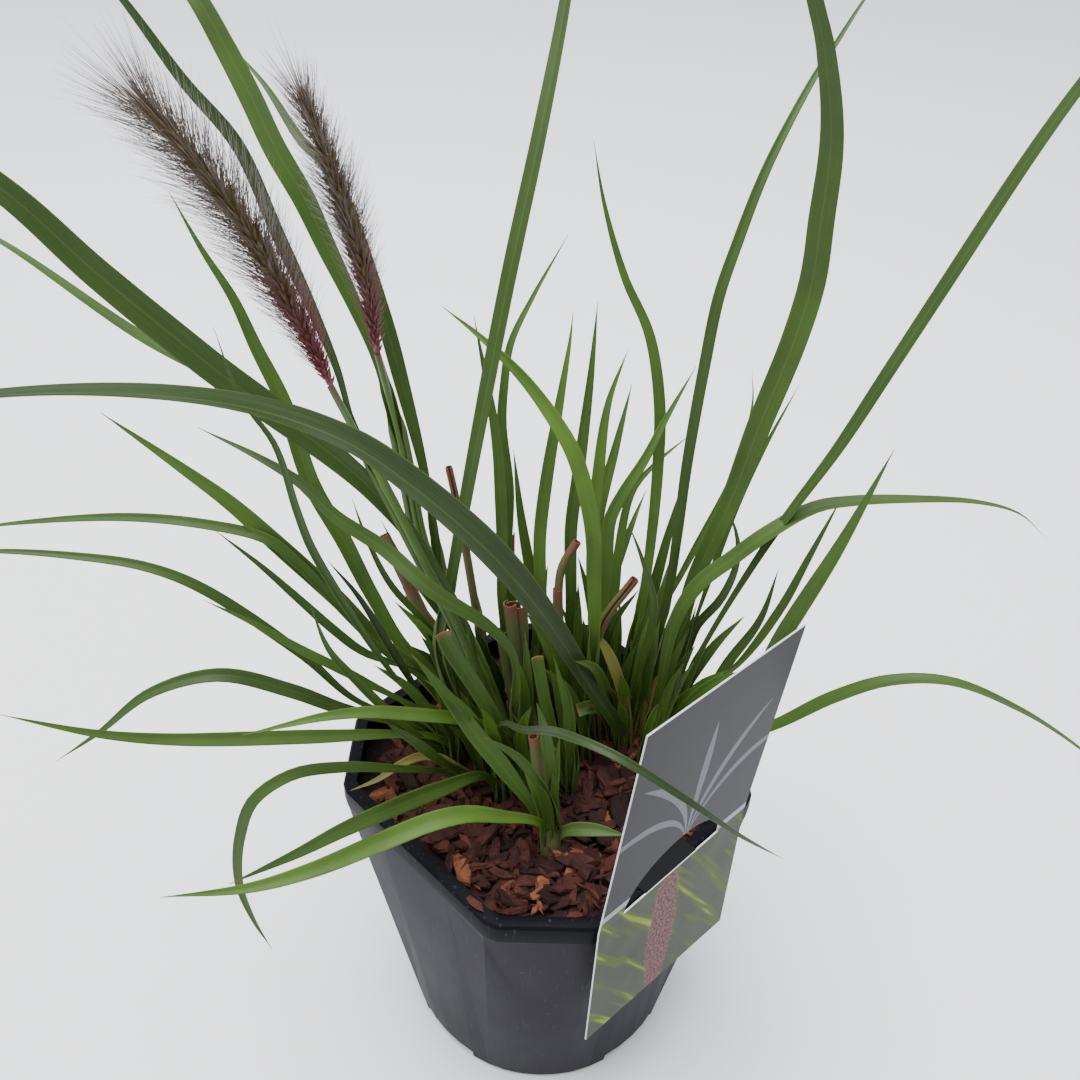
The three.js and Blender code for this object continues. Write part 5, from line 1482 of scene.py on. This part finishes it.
# The plume is a slim oval on a slant, with a ragged edge and speckles
oval = add(tree, MAPPING, {"Vector": sheet, "Location": plume_place})
oval = add(tree, MAPPING, {"Vector": oval, "Rotation": (0, 0, plume_slant), "Scale": plume_slimness})
oval = add(tree, VECTOR_MATH, {0: oval}, operation="LENGTH")
speckle = add(tree, NOISE, {"Vector": sheet, "Scale": 90.0, "Detail": 2.0})
ragged = add(tree, MATH, {0: speckle, 1: 0.5}, operation="ADD")
in_plume = add(tree, MATH, {0: oval, 1: ragged}, operation="LESS_THAN")
picture = layered(
    tree, "#23271c",
    (blur, 0, 1, 1, "#45473a"),
    (streaks, 0.52, 0.56, 1, "#3f4c12"),
    (streaks, 0.6, 0.64, 1, "#6d7a1e"),
    (streaks, 0.69, 0.72, 1, "#a0a65a"),
    (in_plume, 0, 1, 1, layered(tree, "#2a1418", (speckle, 0.4, 0.6, 1, "#744c48"))))
print("picture:", len(tree.nodes), "nodes")

# %% Printed sheet: the rule between the fields, the bare back, and the tongue painted near-black as shade
rule_height = 0.74
rule_half = 0.018
front = add(tree, ATTRIBUTE, attribute_name="front").outputs["Fac"]
in_field, on_rule, printed, tongue_painted_shade = (
    add(tree, MATH, dict(enumerate(terms)), operation=operation) for operation, *terms in (
        ("GREATER_THAN", sheet_spot["Y"], rule_height),
        ("COMPARE", sheet_spot["Y"], rule_height, rule_half),
        ("GREATER_THAN", front, 0.75),
        ("COMPARE", front, 0.5, 0.1)))
feed(tree, shader, {"Base Color": layered(
    tree, picture,
    (in_field, 0, 1, 1, field),
    (on_rule, 0, 1, 1, "#8f9096"),
    (printed, 1, 0, 1, "#b4b5b8"),
    # the tongue is painted near-black as shade; the sheet itself is white
    (tongue_painted_shade, 0, 1, 1, "#0b0b0d"))})
card.data.materials.append(card_finish)
dress(card, "card", "picture_card")

# %% [markdown]
# Two chips of bark lie loose on the rim. They take the shape of the chips in the pot, fitted to
# the places of their solids.

# %% Loose chips
loose_chips = {"loose_chip_front": (2, 11, -38), "loose_chip_left": (3, 9, 40)}
loose_shape = (1.0, 0.9, 0.7)
loose_shade = 0.85
for name, (kind, size, turn) in loose_chips.items():
    chip = chip_mesh(kind)
    low, high = (Vector(corner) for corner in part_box(name))
    place = Matrix.Translation((low + high) / 2) @ Matrix.Rotation(math.radians(turn), 4, "Z")
    chip.data.transform(place @ Matrix.Diagonal((*(size * MM * part for part in loose_shape), 1)))
    chip.name = name + "_splinter"
    chip.data.materials.append(bark_finish)
    shades = chip.data.attributes.new("shade", "FLOAT", "POINT").data
    shades.foreach_set("value", [loose_shade] * len(shades))
    dress(chip, "pale_bark", name)

# %% [markdown]
# ## The triangles in all

# %% Triangles in all
pieces = [obj for obj in bpy.context.scene.objects if obj.type == "MESH" and not obj.hide_render]
print("triangles in all:", sum(triangles(obj.data) for obj in pieces))
